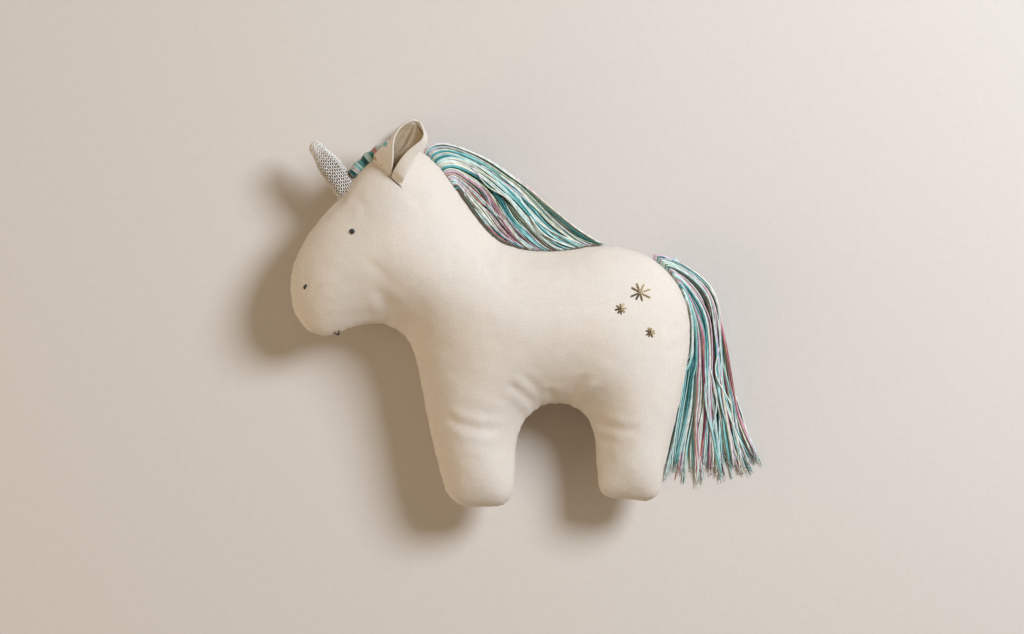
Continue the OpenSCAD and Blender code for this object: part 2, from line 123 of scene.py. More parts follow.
def rim_loops():
    """The loops of edges where the near panel's rim turns up from the seam plane."""
    bm = welded("side_panel_near")
    flat = {f for f in bm.faces if all(abs(v.co.z - SEAM_Z) < WELD for v in f.verts)}
    links = {}
    for e in bm.edges:
        if sum(f in flat for f in e.link_faces) == 1 and all(abs(v.co.z - SEAM_Z) < WELD for v in e.verts):
            a, b = e.verts
            links.setdefault(a, []).append(b)
            links.setdefault(b, []).append(a)
    loops, left = [], set(links)
    while left:
        start = min(left, key=lambda v: tuple(v.co))
        loop, last, here = [start], None, start
        while True:
            following = next(v for v in links[here] if v is not last and (v is start or v in left))
            left.discard(here)
            if following is start:
                break
            loop.append(following)
            last, here = here, following
        loops.append(np.array([v.co.xy for v in loop], float))
    bm.free()
    return loops


def enclosed(loop):
    x, y = loop[:, 0], loop[:, 1]
    return 0.5 * float(np.sum(x * np.roll(y, -1) - y * np.roll(x, -1)))


def smooth_line(points, count, closed=False):
    """Evenly spaced points on a smooth curve through the given ones."""
    p = np.array(points, float)
    if closed:
        rows = [np.roll(p, k, axis=0) for k in (1, 0, -1, -2)]
    else:
        p = np.vstack([2 * p[0] - p[1], p, 2 * p[-1] - p[-2]])
        rows = [p[:-3], p[1:-2], p[2:-1], p[3:]]
    a, b, c, d = (r[:, None, :] for r in rows)
    t = np.linspace(0, 1, 16, endpoint=False)[None, :, None]
    fine = 0.5 * (2 * b + (c - a) * t + (2 * a - 5 * b + 4 * c - d) * t ** 2 + (3 * b - a - 3 * c + d) * t ** 3)
    fine = fine.reshape(-1, p.shape[1])
    fine = np.vstack([fine, fine[:1] if closed else p[-2:-1]])
    run = np.concatenate([[0], np.cumsum(np.linalg.norm(np.diff(fine, axis=0), axis=1))])
    wanted = np.linspace(0, run[-1], count, endpoint=not closed)
    return np.stack([np.interp(wanted, run, fine[:, k]) for k in range(p.shape[1])], axis=1)


class Seam:
    """The body's seam line, seen from above, with a point every millimetre."""

    def __init__(self):
        loop = max(rim_loops(), key=lambda one: abs(enclosed(one)))
        if enclosed(loop) < 0:
            loop = loop[::-1]
        length = np.linalg.norm(loop - np.roll(loop, -1, axis=0), axis=1).sum()
        self.points = smooth_line(loop, int(length / MM), closed=True)
        run = np.roll(self.points, -1, axis=0) - np.roll(self.points, 1, axis=0)
        run /= np.linalg.norm(run, axis=1)[:, None]
        self.out = np.stack([run[:, 1], -run[:, 0]], axis=1)
        self.tree = kdtree.KDTree(len(self.points))
        for i, p in enumerate(self.points):
            self.tree.insert((p[0], p[1], 0), i)
        self.tree.balance()

    def nearest(self, x, y):
        return self.tree.find((x, y, 0))[1]

    def outside(self, x, y):
        """How far a place is outside the seam line, and the way out there."""
        i = self.nearest(x, y)
        return float((np.array([x, y]) - self.points[i]) @ self.out[i]), self.out[i]

    def place(self, first, last, share):
        """A place between the seam points nearest to two places, and the way out there."""
        a, b = self.nearest(*first), self.nearest(*last)
        i = int(round(a + (b - a) * share)) % len(self.points)
        return self.points[i], self.out[i]


seam = Seam()
made = {}


# ---------------------------------------------------------------- objects and meshes

def add_object(name, mesh):
    obj = bpy.data.objects.new(name, mesh)
    bpy.context.scene.collection.objects.link(obj)
    return obj


def from_lists(name, points, faces, finish=None):
    mesh = bpy.data.meshes.new(name)
    mesh.from_pydata([tuple(p) for p in points], [], [tuple(f) for f in faces])
    mesh.update()
    mesh.shade_smooth()
    obj = add_object(name, mesh)
    if finish:
        mesh.materials.append(finish)
    return obj


def apply_modifiers(obj):
    graph = bpy.context.evaluated_depsgraph_get()
    mesh = bpy.data.meshes.new_from_object(obj.evaluated_get(graph))
    obj.modifiers.clear()
    obj.data = mesh
    mesh.name = obj.name


def rows_of(items, key):
    flat = np.zeros(len(items) * 3, np.float32)
    items.foreach_get(key, flat)
    return flat.reshape(-1, 3).astype(float)


def points_of(obj):
    return rows_of(obj.data.vertices, "co")


def move_points(obj, points):
    obj.data.vertices.foreach_set("co", points.astype(np.float32).ravel())
    obj.data.update()


def normals_of(obj):
    return rows_of(obj.data.vertex_normals, "vector")


def stands_for(obj, slot, *nodes):
    if nodes:
        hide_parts(*nodes)


def finish_piece(obj, body, slot, *nodes):
    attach(obj, body)
    stands_for(obj, slot, *nodes)


def unit(rows):
    return rows / np.maximum(np.linalg.norm(rows, axis=-1, keepdims=True), 1e-12)


def smoothstep(t):
    t = np.clip(t, 0, 1)
    return t * t * (3 - 2 * t)


def threads(name, paths, radius, finish, ups=None, dye=None, sides=6):
    """One mesh of round threads. paths is threads x points x 3, and radius is a number or one for each point."""
    paths = np.array(paths, float)
    count, steps, _ = paths.shape
    radius = np.broadcast_to(np.array(radius, float), (count, steps))
    along = unit(np.gradient(paths, axis=1))
    if ups is None:
        up = np.where(np.abs(along[:, :1, 2:]) > 0.9, np.array([1.0, 0, 0]), UP)
        side = np.zeros_like(paths)
        side[:, 0] = unit(np.cross(along[:, 0], up[:, 0]))
        for k in range(1, steps):
            carried = side[:, k - 1]
            side[:, k] = unit(carried - (carried * along[:, k]).sum(1, keepdims=True) * along[:, k])
    else:
        side = unit(np.cross(along, np.broadcast_to(np.array(ups, float), paths.shape)))
    lift = np.cross(side, along)
    turn = np.arange(sides) * 2 * math.pi / sides
    ring = (side[:, :, None] * np.cos(turn)[None, None, :, None]
            + lift[:, :, None] * np.sin(turn)[None, None, :, None])
    points = (paths[:, :, None] + ring * radius[:, :, None, None]).reshape(-1, 3)
    i, j, k = np.meshgrid(np.arange(count), np.arange(steps - 1), np.arange(sides), indexing="ij")
    here, after = (i * steps + j) * sides, (k + 1) % sides
    quads = np.stack([here + k, here + after, here + sides + after, here + sides + k], -1).reshape(-1, 4)
    caps = []
    for n in range(count):
        first, last = n * steps * sides, (n * steps + steps - 1) * sides
        caps.append([first + s for s in reversed(range(sides))])
        caps.append([last + s for s in range(sides)])
    obj = from_lists(name, points, quads.tolist() + caps, finish)
    run = np.concatenate([np.zeros((count, 1)), np.cumsum(np.linalg.norm(np.diff(paths, axis=1), axis=2), 1)], 1)
    length = run[i, j], run[i, j + 1]
    u0, u1 = k / sides, (k + 1) / sides
    uv = np.stack([np.stack([u0, length[0]], -1), np.stack([u1, length[0]], -1),
                   np.stack([u1, length[1]], -1), np.stack([u0, length[1]], -1)], 3).reshape(-1, 2)
    layer = obj.data.uv_layers.new(name="thread")
    flat = np.zeros((len(obj.data.loops), 2), np.float32)
    flat[:len(uv)] = uv
    layer.data.foreach_set("uv", flat.ravel())
    if dye is not None:
        values = np.broadcast_to(np.array(dye, float), (count, steps))
        attribute = obj.data.attributes.new("dye", "FLOAT", "POINT")
        attribute.data.foreach_set("value", np.repeat(values.ravel(), sides).astype(np.float32))
    return obj


# ---------------------------------------------------------------- materials

def place(tree, kind, settings=None, feeds=(), **named):
    """A shader node with its settings, and its inputs fed by number or by name."""
    item = tree.nodes.new(kind)
    for key, value in (settings or {}).items():
        setattr(item, key, value)
    wanted = list(enumerate(feeds)) + [(k.replace("_", " "), v) for k, v in named.items()]
    for key, value in wanted:
        if isinstance(value, bpy.types.NodeSocket):
            tree.links.new(value, item.inputs[key])
        elif value is not None:
            item.inputs[key].default_value = value
    return item


def sums(tree, operation, *feeds):
    return place(tree, "ShaderNodeMath", {"operation": operation}, feeds).outputs[0]


def vector_sums(tree, operation, *feeds):
    return place(tree, "ShaderNodeVectorMath", {"operation": operation}, feeds).outputs[0]


def noise_of(tree, where, scale, detail):
    return place(tree, "ShaderNodeTexNoise", Vector=where, Scale=scale, Detail=detail).outputs[0]


def ramp(tree, factor, stops, how="LINEAR"):
    item = place(tree, "ShaderNodeValToRGB", feeds=[factor])
    item.color_ramp.interpolation = how
    elements = item.color_ramp.elements
    while len(elements) < len(stops):
        elements.new(0.5)
    for element, (position, colour) in zip(elements, stops):
        element.position, element.color = position, (*colour[:3], 1)
    return item.outputs["Color"]


def mixed(tree, factor, a, b, how="MIX"):
    item = place(tree, "ShaderNodeMix", {"data_type": "RGBA", "blend_type": how})
    for key, value in ((0, factor), (6, a), (7, b)):
        if isinstance(value, bpy.types.NodeSocket):
            tree.links.new(value, item.inputs[key])
        else:
            item.inputs[key].default_value = (*value[:3], 1) if key else value
    return item.outputs[2]


def group(name, inputs, outputs):
    """A new shader node group with its named sockets, and its input and output nodes."""
    tree = bpy.data.node_groups.new(name, "ShaderNodeTree")
    for label, kind, default in inputs:
        socket = tree.interface.new_socket(label, in_out="INPUT", socket_type=kind)
        if default is not None:
            socket.default_value = default
    for label, kind in outputs:
        tree.interface.new_socket(label, in_out="OUTPUT", socket_type=kind)
    return tree, tree.nodes.new("NodeGroupInput").outputs, tree.nodes.new("NodeGroupOutput").inputs


SLUB_STRETCHES = ((40.0, 900.0, 900.0), (900.0, 40.0, 900.0))


def woven_group():
    """Plain weave seen from each side in turn, with fuzz and thicker yarns here and there."""
    tree, given, result = group(
        "Plain weave",
        [("Position", "NodeSocketVector", None), ("Facing", "NodeSocketVector", None),
         ("Pitch", "NodeSocketFloat", 0.0006), ("Slub", "NodeSocketFloat", 0.3)],
        [("Height", "NodeSocketFloat"), ("Tone", "NodeSocketFloat")])
    parts = place(tree, "ShaderNodeSeparateXYZ", feeds=[given["Position"]]).outputs
    facing = vector_sums(tree, "ABSOLUTE", given["Facing"])
    sides = place(tree, "ShaderNodeSeparateXYZ", feeds=[facing]).outputs
    turn = sums(tree, "DIVIDE", math.pi, given["Pitch"])
    waves = [sums(tree, "SINE", sums(tree, "MULTIPLY", part, turn)) for part in parts]
    total, weight = None, None
    for a, b, c in ((0, 1, 2), (1, 2, 0), (0, 2, 1)):
        share = sums(tree, "POWER", sides[c], 3.0)
        over = sums(tree, "MULTIPLY", sums(tree, "MULTIPLY", waves[a], waves[b]), share)
        total = over if total is None else sums(tree, "ADD", total, over)
        weight = share if weight is None else sums(tree, "ADD", weight, share)
    weave = sums(tree, "DIVIDE", total, sums(tree, "MAXIMUM", weight, 0.01))
    slubs = None
    for stretch in SLUB_STRETCHES:
        drawn = vector_sums(tree, "MULTIPLY", given["Position"], stretch)
        lines = noise_of(tree, drawn, 1.0, 1.0)
        slubs = lines if slubs is None else sums(tree, "ADD", slubs, lines)
    fuzz = noise_of(tree, given["Position"], 900.0, 2.0)
    slub = sums(tree, "MULTIPLY", sums(tree, "SUBTRACT", slubs, 1.0), given["Slub"])
    height = sums(tree, "ADD", sums(tree, "MULTIPLY", weave, 0.35), sums(tree, "ADD", slub, fuzz))
    tree.links.new(height, result["Height"])
    tree.links.new(sums(tree, "ADD", sums(tree, "MULTIPLY", slub, 0.9),
                        sums(tree, "SUBTRACT", fuzz, 0.5)), result["Tone"])
    return tree


PLIES = 2.0


def twist_group():
    """Plies that wind round a thread, from its own length and round. Groove marks the hollows between the plies,
    where the thread's colour is darkened as painted shade.
    """
    tree, given, result = group(
        "Twisted plies",
        [("Plies", "NodeSocketFloat", PLIES), ("Lay", "NodeSocketFloat", 0.004)],
        [("Height", "NodeSocketFloat"), ("Groove", "NodeSocketFloat")])
    spread = place(tree, "ShaderNodeUVMap", {"uv_map": "thread"}).outputs[0]
    parts = place(tree, "ShaderNodeSeparateXYZ", feeds=[spread]).outputs
    wound = sums(tree, "ADD", sums(tree, "MULTIPLY", parts[0], given["Plies"]),
                 sums(tree, "DIVIDE", parts[1], given["Lay"]))
    height = sums(tree, "ABSOLUTE", sums(tree, "SINE", sums(tree, "MULTIPLY", wound, math.pi)))
    tree.links.new(height, result["Height"])
    tree.links.new(sums(tree, "POWER", sums(tree, "SUBTRACT", 1.0, height), 2.0), result["Groove"])
    return tree


def mottle_group():
    """Slow and quick changes of tone over a surface, about zero."""
    tree, given, result = group(
        "Mottling",
        [("Position", "NodeSocketVector", None), ("Scale", "NodeSocketFloat", 30.0)],
        [("Tone", "NodeSocketFloat")])
    slow = noise_of(tree, given["Position"], given["Scale"], 3.0)
    quick = sums(tree, "MULTIPLY", given["Scale"], 9.0)
    fine = noise_of(tree, given["Position"], quick, 2.0)
    both = sums(tree, "ADD", slow, sums(tree, "MULTIPLY", fine, 0.5))
    tree.links.new(sums(tree, "SUBTRACT", both, 0.75), result["Tone"])
    return tree


GROUPS = {}


def shared(tree, name, output, **named):
    """An output of one of the shared groups, placed with its own values."""
    if name not in GROUPS:
        GROUPS[name] = {"weave": woven_group, "twist": twist_group, "mottle": mottle_group}[name]()
    key = (tree, name, tuple(sorted((k, str(v)) for k, v in named.items())))
    if key not in GROUPS:
        GROUPS[key] = place(tree, "ShaderNodeGroup", {"node_tree": GROUPS[name]}, **named)
    return GROUPS[key].outputs[output]


DYE_PICKS = [(0.0, 0.1), (0.14, 0.26), (0.28, 0.45), (0.45, 0.66), (0.68, 0.82), (0.84, 1.0)]
DYE_SHARES = [0.15, 0.17, 0.27, 0.18, 0.13, 0.10]


def finish_of(name, roughness, metallic=0.0, sheen=0.0, sheen_tint=(1, 1, 1)):
    """A new material with its constants on the shader's own sockets."""
    finish = bpy.data.materials.new(name)
    finish.use_nodes = True
    tree = finish.node_tree
    shader = tree.nodes["Principled BSDF"]
    for socket, value in (("Roughness", roughness), ("Metallic", metallic), ("Sheen Weight", sheen),
                          ("Sheen Roughness", 0.45), ("Sheen Tint", (*sheen_tint, 1)),
                          ("Specular IOR Level", 0.25)):
        shader.inputs[socket].default_value = value
    return finish, tree, shader


def bumped(tree, shader, height, distance, strength=1.0):
    bump = place(tree, "ShaderNodeBump", Height=height, Distance=distance, Strength=strength)
    tree.links.new(bump.outputs[0], shader.inputs["Normal"])


def toned(tree, colour, tone, amount):
    """A colour made lighter and darker by a tone about zero."""
    strength = sums(tree, "ADD", 1.0, sums(tree, "MULTIPLY", tone, amount))
    scale = place(tree, "ShaderNodeCombineXYZ", feeds=[strength] * 3).outputs[0]
    return vector_sums(tree, "MULTIPLY", colour, scale)


def cloth_material(name, colour, shade, pitch, slub, bump, mottle=26.0, amount=0.12, grain=0.22):
    """Woven cloth. shade is the colour that shows through in the mottling."""
    finish, tree, shader = finish_of(name, 0.92, sheen=0.25, sheen_tint=(1.0, 0.96, 0.9))
    here = place(tree, "ShaderNodeNewGeometry").outputs
    spot = place(tree, "ShaderNodeTexCoord").outputs["Object"]
    woven = {"Position": spot, "Facing": here["Normal"], "Pitch": pitch, "Slub": slub}
    tone = shared(tree, "mottle", "Tone", Position=spot, Scale=mottle)
    base = mixed(tree, sums(tree, "ADD", 0.35, sums(tree, "MULTIPLY", tone, 1.5)), colour, shade)
    base = toned(tree, base, tone, amount)
    base = toned(tree, base, shared(tree, "weave", "Tone", **woven), grain)
    tree.links.new(base, shader.inputs["Base Color"])
    bumped(tree, shader, shared(tree, "weave", "Height", **woven), bump)
    return finish


YARN_DYES = [
    (0.00, (0.02, 0.10, 0.10)), (0.10, (0.05, 0.28, 0.28)), (0.20, (0.15, 0.50, 0.49)),
    (0.30, (0.38, 0.70, 0.67)), (0.40, (0.66, 0.82, 0.76)), (0.50, (0.86, 0.86, 0.78)),
    (0.58, (0.86, 0.80, 0.66)), (0.65, (0.66, 0.76, 0.52)), (0.72, (0.66, 0.58, 0.70)),
    (0.80, (0.84, 0.58, 0.62)), (0.88, (0.62, 0.20, 0.30)), (0.95, (0.60, 0.28, 0.20)),
    (1.00, (0.24, 0.05, 0.09)),
]


def thread_material(name, stops, lay, roughness=0.55, metallic=0.0, bump=0.0003, sheen=0.2, depth=0.4):
    """Twisted thread dyed by each thread's own dye value, and darkened in the grooves between its plies as painted
    shade. For the gold thread the value is painted highlight and shade with some random spread.
    """
    finish, tree, shader = finish_of(name, roughness, metallic, sheen)
    spot = place(tree, "ShaderNodeTexCoord").outputs["Object"]
    dye = place(tree, "ShaderNodeAttribute", {"attribute_name": "dye"}).outputs["Fac"]
    tone = shared(tree, "mottle", "Tone", Position=spot, Scale=160.0)
    groove = shared(tree, "twist", "Groove", Plies=PLIES, Lay=lay)
    # depth sets how far the grooves between the plies are darkened: painted shade.
    colour = toned(tree, toned(tree, ramp(tree, dye, stops), tone, 0.35), groove, -depth)
    rough = sums(tree, "ADD", roughness, sums(tree, "MULTIPLY", groove, 0.25))
    tree.links.new(colour, shader.inputs["Base Color"])
    tree.links.new(rough, shader.inputs["Roughness"])
    bumped(tree, shader, shared(tree, "twist", "Height", Plies=PLIES, Lay=lay), bump)
    return finish


def times(colour, *shares):
    """A colour with its three parts multiplied by one share, or by a share each."""
    return tuple(c * d for c, d in zip(colour, shares if len(shares) == 3 else shares * 3))


def dress(obj, finish):
    obj.data.shade_smooth()
    obj.data.materials.clear()
    obj.data.materials.append(material(finish))


KNIT_FLECKS = [(0, (0.45, 0.26, 0.14)), (0.06, (0.72, 0.56, 0.38)), (0.7, (0.97, 0.93, 0.86)),
               (0.88, (0.90, 0.70, 0.64)), (1, (0.97, 0.94, 0.88))]
KNIT_PLACE = 0.16
# Light gold at the top of the gold thread's ramp: painted highlight.
PAINTED_HIGHLIGHT_GOLD = (0.85, 0.70, 0.42)
# The wadding's near black browns are painted shadow for the dark holes between the knit's loops.
WADDING_SHADOW_BROWN, WADDING_DEEP_SHADOW = (0.035, 0.019, 0.012), (0.02, 0.011, 0.007)


def material(name):
    """A finish of this toy, made when it is first wanted."""
    if name not in made:
        cloth, yarn = bpy.context.scene.unicorn_cloth, bpy.context.scene.unicorn_yarn
        cotton, linen, thread, dark, gold, knit = (tuple(colour) for colour in (
            cloth.cotton_colour, cloth.lining_colour, cloth.thread_colour, cloth.face_colour,
            cloth.gold_colour, yarn.knit_colour))
        pitch = cloth.weave_pitch
        recipes = {
            "brushed cotton": (cloth_material, cotton, times(cotton, 0.97, 0.94, 0.88), pitch, 0.35, 0.00022),
            "linen lining": (cloth_material, linen, times(linen, 0.8), 1.6 * pitch, 0.8, 0.0004),
            # Darkened thread colour for the tube in the dart's opening: painted shadow.
            "dart shade": (cloth_material, times(thread, 0.24, 0.16, 0.10), (0.08, 0.045, 0.025),
                           pitch, 0.3, 0.0002),
            "horn wadding": (cloth_material, WADDING_SHADOW_BROWN, WADDING_DEEP_SHADOW, 0.0012, 0.5, 0.0004),
            "cotton thread": (thread_material, [(0, thread), (1, times(thread, 0.85))], 0.002),
            "dark thread": (thread_material, [(0, dark), (1, times(dark, 1.9))], 0.0016),
            # The gold thread's ramp goes from a dark gold, painted shade, to a light gold, painted highlight.
            "gold thread": (thread_material, [(0, times(gold, 0.22)), (0.5, gold), (1, PAINTED_HIGHLIGHT_GOLD)], 0.0012),
            "lurex knit": (thread_material, sorted(KNIT_FLECKS + [(KNIT_PLACE, knit)]), 0.0022),
            "dyed yarn": (thread_material, YARN_DYES, yarn.lay),
        }
        more = {
            "linen lining": {"mottle": 60.0, "amount": 0.25, "grain": 0.5},
            "dark thread": {"sheen": 0.1},
            "gold thread": {"roughness": 0.36, "metallic": 0.65},
            "lurex knit": {"roughness": 0.45, "depth": 0.15},
            "dyed yarn": {"roughness": 0.42, "sheen": 0.3, "bump": 0.0001, "depth": 0.14},
        }
        make, *given = recipes[name]
        made[name] = make(name, *given, **more.get(name, {}))
    return made[name]


# ---------------------------------------------------------------- body

# Soft folds in the cloth: start, end, bend to the left of the way, depth, half width, all in millimetres.
# They run over the stuffed near side, and over the far side as its mirror, only fainter.
FOLDS = [
    ("front leg, across its top", (-97, -82), (-52, -93), -3, 1.5, 3.2),
    ("front leg, above the first", (-88, -73), (-50, -80), -2, 0.7, 4.0),
    ("arch, left fold", (-45, -54), (-20, -74), 2, 1.3, 3.0),
    ("arch, upper left fold", (-34, -47), (-14, -69), 2, 0.9, 3.0),
    ("arch, middle fold", (-12, -58), (-4, -71), 1, 1.0, 2.6),
    ("arch, right fold", (25, -47), (10, -66), -2, 1.3, 3.0),
    ("arch, far right fold", (38, -58), (20, -77), -2, 0.8, 3.0),
    ("hind leg, across its top", (29, -84), (64, -93), -3, 1.3, 3.0),
    ("hind leg, below the first", (31, -99), (52, -103), -1, 0.6, 3.5),
    ("throat", (-157, 27), (-143, -3), 3, 1.2, 4.2),
    ("throat, behind the first", (-146, 18), (-128, -12), 3, 0.9, 4.2),
    ("chest", (-128, -30), (-104, -44), 2, 0.7, 4.0),
    ("chest, below the first", (-119, -58), (-98, -64), 1, 0.6, 3.6),
    ("rump", (108, -20), (88, -28), 1, 0.5, 3.6),
    ("under the ear", (-131, 110), (-118, 92), 3, 0.7, 4.0),
    ("horn's foot", (-176, 104), (-164, 92), 2, 0.6, 3.2),
]
# Places where the seam puckers most: middle, reach, in millimetres
GATHERS = [
    ("front sole", (-62, -158), 34), ("hind sole", (66, -153), 30), ("arch", (-4, -74), 36),
    ("chin", (-190, -12), 30), ("throat corner", (-134, -10), 22), ("nose", (-229, 20), 26),
]
FOLD_SHARE, RIDGE_SHARE, RIDGE_PLACE = 0.75, 0.45, 2.1
FOLD_WIDTH, FAR_FOLD_WIDTH, FAR_FOLD_SHARE = 1.25, 1.5, 0.6
SIDE_FADE = 8 * MM
# Uneven stuffing: height, size and seed of its broad and its fine lumps
LUMPS = [(0.9 * MM, 34 * MM, 1), (0.28 * MM, 11 * MM, 2)]
RIM_REACH, PUCKER_REACH, SEAM_HALF_WIDTH = 26 * MM, 9 * MM, 1.9 * MM
PUCKER_EVERYWHERE, PUCKER_GATHERED = 0.16, 0.4
SEAM_SWELL = 2.0 * MM
SEAM_HOLD = 18 * MM
SWELL_FRAMES = 20
FLOOR_GAP = 0.3 * MM
# A height well over the toy, from which places on its skin are found
SKY = 0.4
STITCH_STEPS, STITCH_SINK = 9, 0.5 * MM


def soft_bumps(points, scale, seed):
    shift = Vector((seed * 3.1, seed * 1.7, seed * 0.9))
    return np.array([noise.noise(Vector(p) / scale + shift) for p in points])


def fold_push(points, widen):
    """How far each point sinks along its normal, for folds and the soft ridges beside them."""
    push = np.zeros(len(points))
    for _, first, last, bend, depth, width in FOLDS:
        a, b = np.array(first) * MM, np.array(last) * MM
        run = b - a
        length = np.linalg.norm(run)
        side = np.array([-run[1], run[0]]) / length
        rel = points[:, :2] - a
        t = rel @ run / length ** 2
        bow = 4 * bend * MM * t * (1 - t)
        away = (rel @ side - bow) / (width * MM * widen)
        fade = smoothstep((t + 0.12) / 0.35) * smoothstep((1.15 - t) / 0.4)
        ridges = RIDGE_SHARE * np.exp(-(np.abs(away) - RIDGE_PLACE) ** 2)
        push -= FOLD_SHARE * depth * MM * fade * (np.exp(-away ** 2) - ridges)
    return push


def stuff_with_air(obj, pressure, cap):
    """Swells a closed cloth skin with pressure, holds it at its seam and keeps each point near where it was."""
    start, out = points_of(obj), normals_of(obj)
    swell = obj.modifiers.new("stuffing", "CLOTH")
    cloth = swell.settings
    cloth.quality = 4
    cloth.tension_stiffness = cloth.compression_stiffness = 12
    cloth.bending_stiffness = 0.6
    cloth.use_pressure = True
    cloth.uniform_pressure_force = pressure
    cloth.effector_weights.gravity = 0
    cloth.shrink_min = -0.02
    swell.point_cache.frame_start, swell.point_cache.frame_end = 1, SWELL_FRAMES
    scene = bpy.context.scene
    for number in range(1, SWELL_FRAMES + 1):
        scene.frame_set(number)
    graph = bpy.context.evaluated_depsgraph_get()
    moved = rows_of(obj.evaluated_get(graph).to_mesh().vertices, "co") - start
    obj.modifiers.clear()
    scene.frame_set(1)
    length = np.linalg.norm(moved, axis=1, keepdims=True)
    free = smoothstep(np.abs(start[:, 2:] - SEAM_Z) / SEAM_HOLD)
    swollen = moved * np.minimum(1, cap / np.maximum(length, 1e-9))
    move_points(obj, start + swollen * free + out * SEAM_SWELL * (1 - free))


def make_body(sizes):
    """The stuffed skin, kept as well so that stitches and yarn can be laid on it."""
    bm = welded("body_filling")
    mesh = bpy.data.meshes.new("body_cloth")
    bm.to_mesh(mesh)
    bm.free()
    obj = add_object("body_cloth", mesh)
    even = obj.modifiers.new("even mesh", "REMESH")
    even.mode, even.voxel_size = "VOXEL", sizes.mesh_pitch
    relax = obj.modifiers.new("relax", "SMOOTH")
    relax.factor, relax.iterations = 0.5, 8
    apply_modifiers(obj)
    stuff_with_air(obj, sizes.pressure, sizes.swell_cap)
    relax = obj.modifiers.new("relax", "SMOOTH")
    relax.factor, relax.iterations = 0.5, 2
    finer = obj.modifiers.new("finer", "SUBSURF")
    finer.levels = finer.render_levels = 1
    apply_modifiers(obj)
    shape_cloth(obj, sizes)
    dress(obj, "brushed cotton")
    finish_piece(obj, "body", "cotton", "side_panel_near", "side_panel_far", "body_filling")
    mesh = obj.data
    made["skin"] = BVHTree.FromPolygons([v.co for v in mesh.vertices], [p.vertices for p in mesh.polygons])


def shape_cloth(obj, sizes):
    """Works the seam, its puckers, the folds and small dents into the stuffed cloth."""
    points, out = points_of(obj), normals_of(obj)
    rise = points[:, 2] - SEAM_Z
    near, far = smoothstep(rise / SIDE_FADE), smoothstep(-rise / SIDE_FADE)
    push = near * fold_push(points, FOLD_WIDTH) + FAR_FOLD_SHARE * far * fold_push(points, FAR_FOLD_WIDTH)
    push += sum(height * soft_bumps(points, size, seed) for height, size, seed in LUMPS)
    depth = np.abs(rise)
    rim = np.flatnonzero(depth < RIM_REACH)
    places = np.array([seam.nearest(points[i, 0], points[i, 1]) for i in rim])
    length = places * MM
    wander = np.array([noise.noise(Vector((s * 60, 0.3, 0.7))) for s in length])
    ripple = np.sin(2 * math.pi * length / sizes.pucker_pitch + 5 * wander)
    gather = np.zeros(len(rim))
    for _, middle, reach in GATHERS:
        away = np.linalg.norm(points[rim, :2] - np.array(middle) * MM, axis=1) / (reach * MM)
        gather = np.maximum(gather, np.exp(-away ** 2))
    d = depth[rim]
    tall = MM * (PUCKER_EVERYWHERE + PUCKER_GATHERED * gather) * (0.5 + 0.5 * wander)
    push[rim] += ripple * tall * np.exp(-(d / PUCKER_REACH) ** 2)
    push[rim] -= sizes.seam_depth * np.exp(-(d / SEAM_HALF_WIDTH) ** 2)
    points += out * push[:, None]
    points[:, 2] = np.maximum(points[:, 2], FLOOR_GAP)
    move_points(obj, points)


def touch(x, y, side=NEAR):
    """The place on the cloth over or under (x, y), and the way out of it."""
    spot, out, _, _ = made["skin"].ray_cast(Vector((x, y, SKY * side)), Vector((0, 0, -side)))
    if spot is None:
        i = seam.nearest(x, y)
        return np.array([*seam.points[i], SEAM_Z]), np.array([*seam.out[i], 0.0])
    return np.array(spot), np.array(out if out.z * side > 0 else -out)


def stitch(a, b, side, rise):
    """A stitch over the cloth from a to b, that dives in at both ends, with the way out along it."""
    path, ups = [], []
    for t in np.linspace(0, 1, STITCH_STEPS):
        spot, out = touch(*(a + (b - a) * t), side)
        arch = math.sin(math.pi * t) ** 0.45
        path.append(spot + out * (arch * (rise + STITCH_SINK) - STITCH_SINK))
        ups.append(out)
    return path, ups


def worked(name, stitches, radius, finish, dye):
    """One mesh of stitches, given as pairs of a path and its ways out."""
    paths, ups = zip(*stitches)
    return threads(name, paths, radius, material(finish), ups=ups, dye=np.array(dye)[:, None])


def sewn(name, stitches, radius, finish, dye, slot, *nodes):
    finish_piece(worked(name, stitches, radius, finish, dye), "body", slot, *nodes)


def centre_of(node):
    lo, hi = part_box(node)
    return np.array(((lo + hi) / 2).xy), hi - lo


def turned(way):
    """A direction in the plane, turned a quarter to the left."""
    return np.array([-way[1], way[0]])


EYE_ROWS, EYE_LEAN = 8, np.array([0.94, 0.34])
NOSTRIL_ROWS, NOSTRIL_WAY = 4, unit(np.array([0.47, 0.88]))
# The two arms of the mouth: the side they lean to, and their length
MOUTH_ARMS = ((-1, 2.3 * MM), (1, 1.8 * MM))
CLOSING_STITCHES, CLOSING_REACH = 9, 2.4


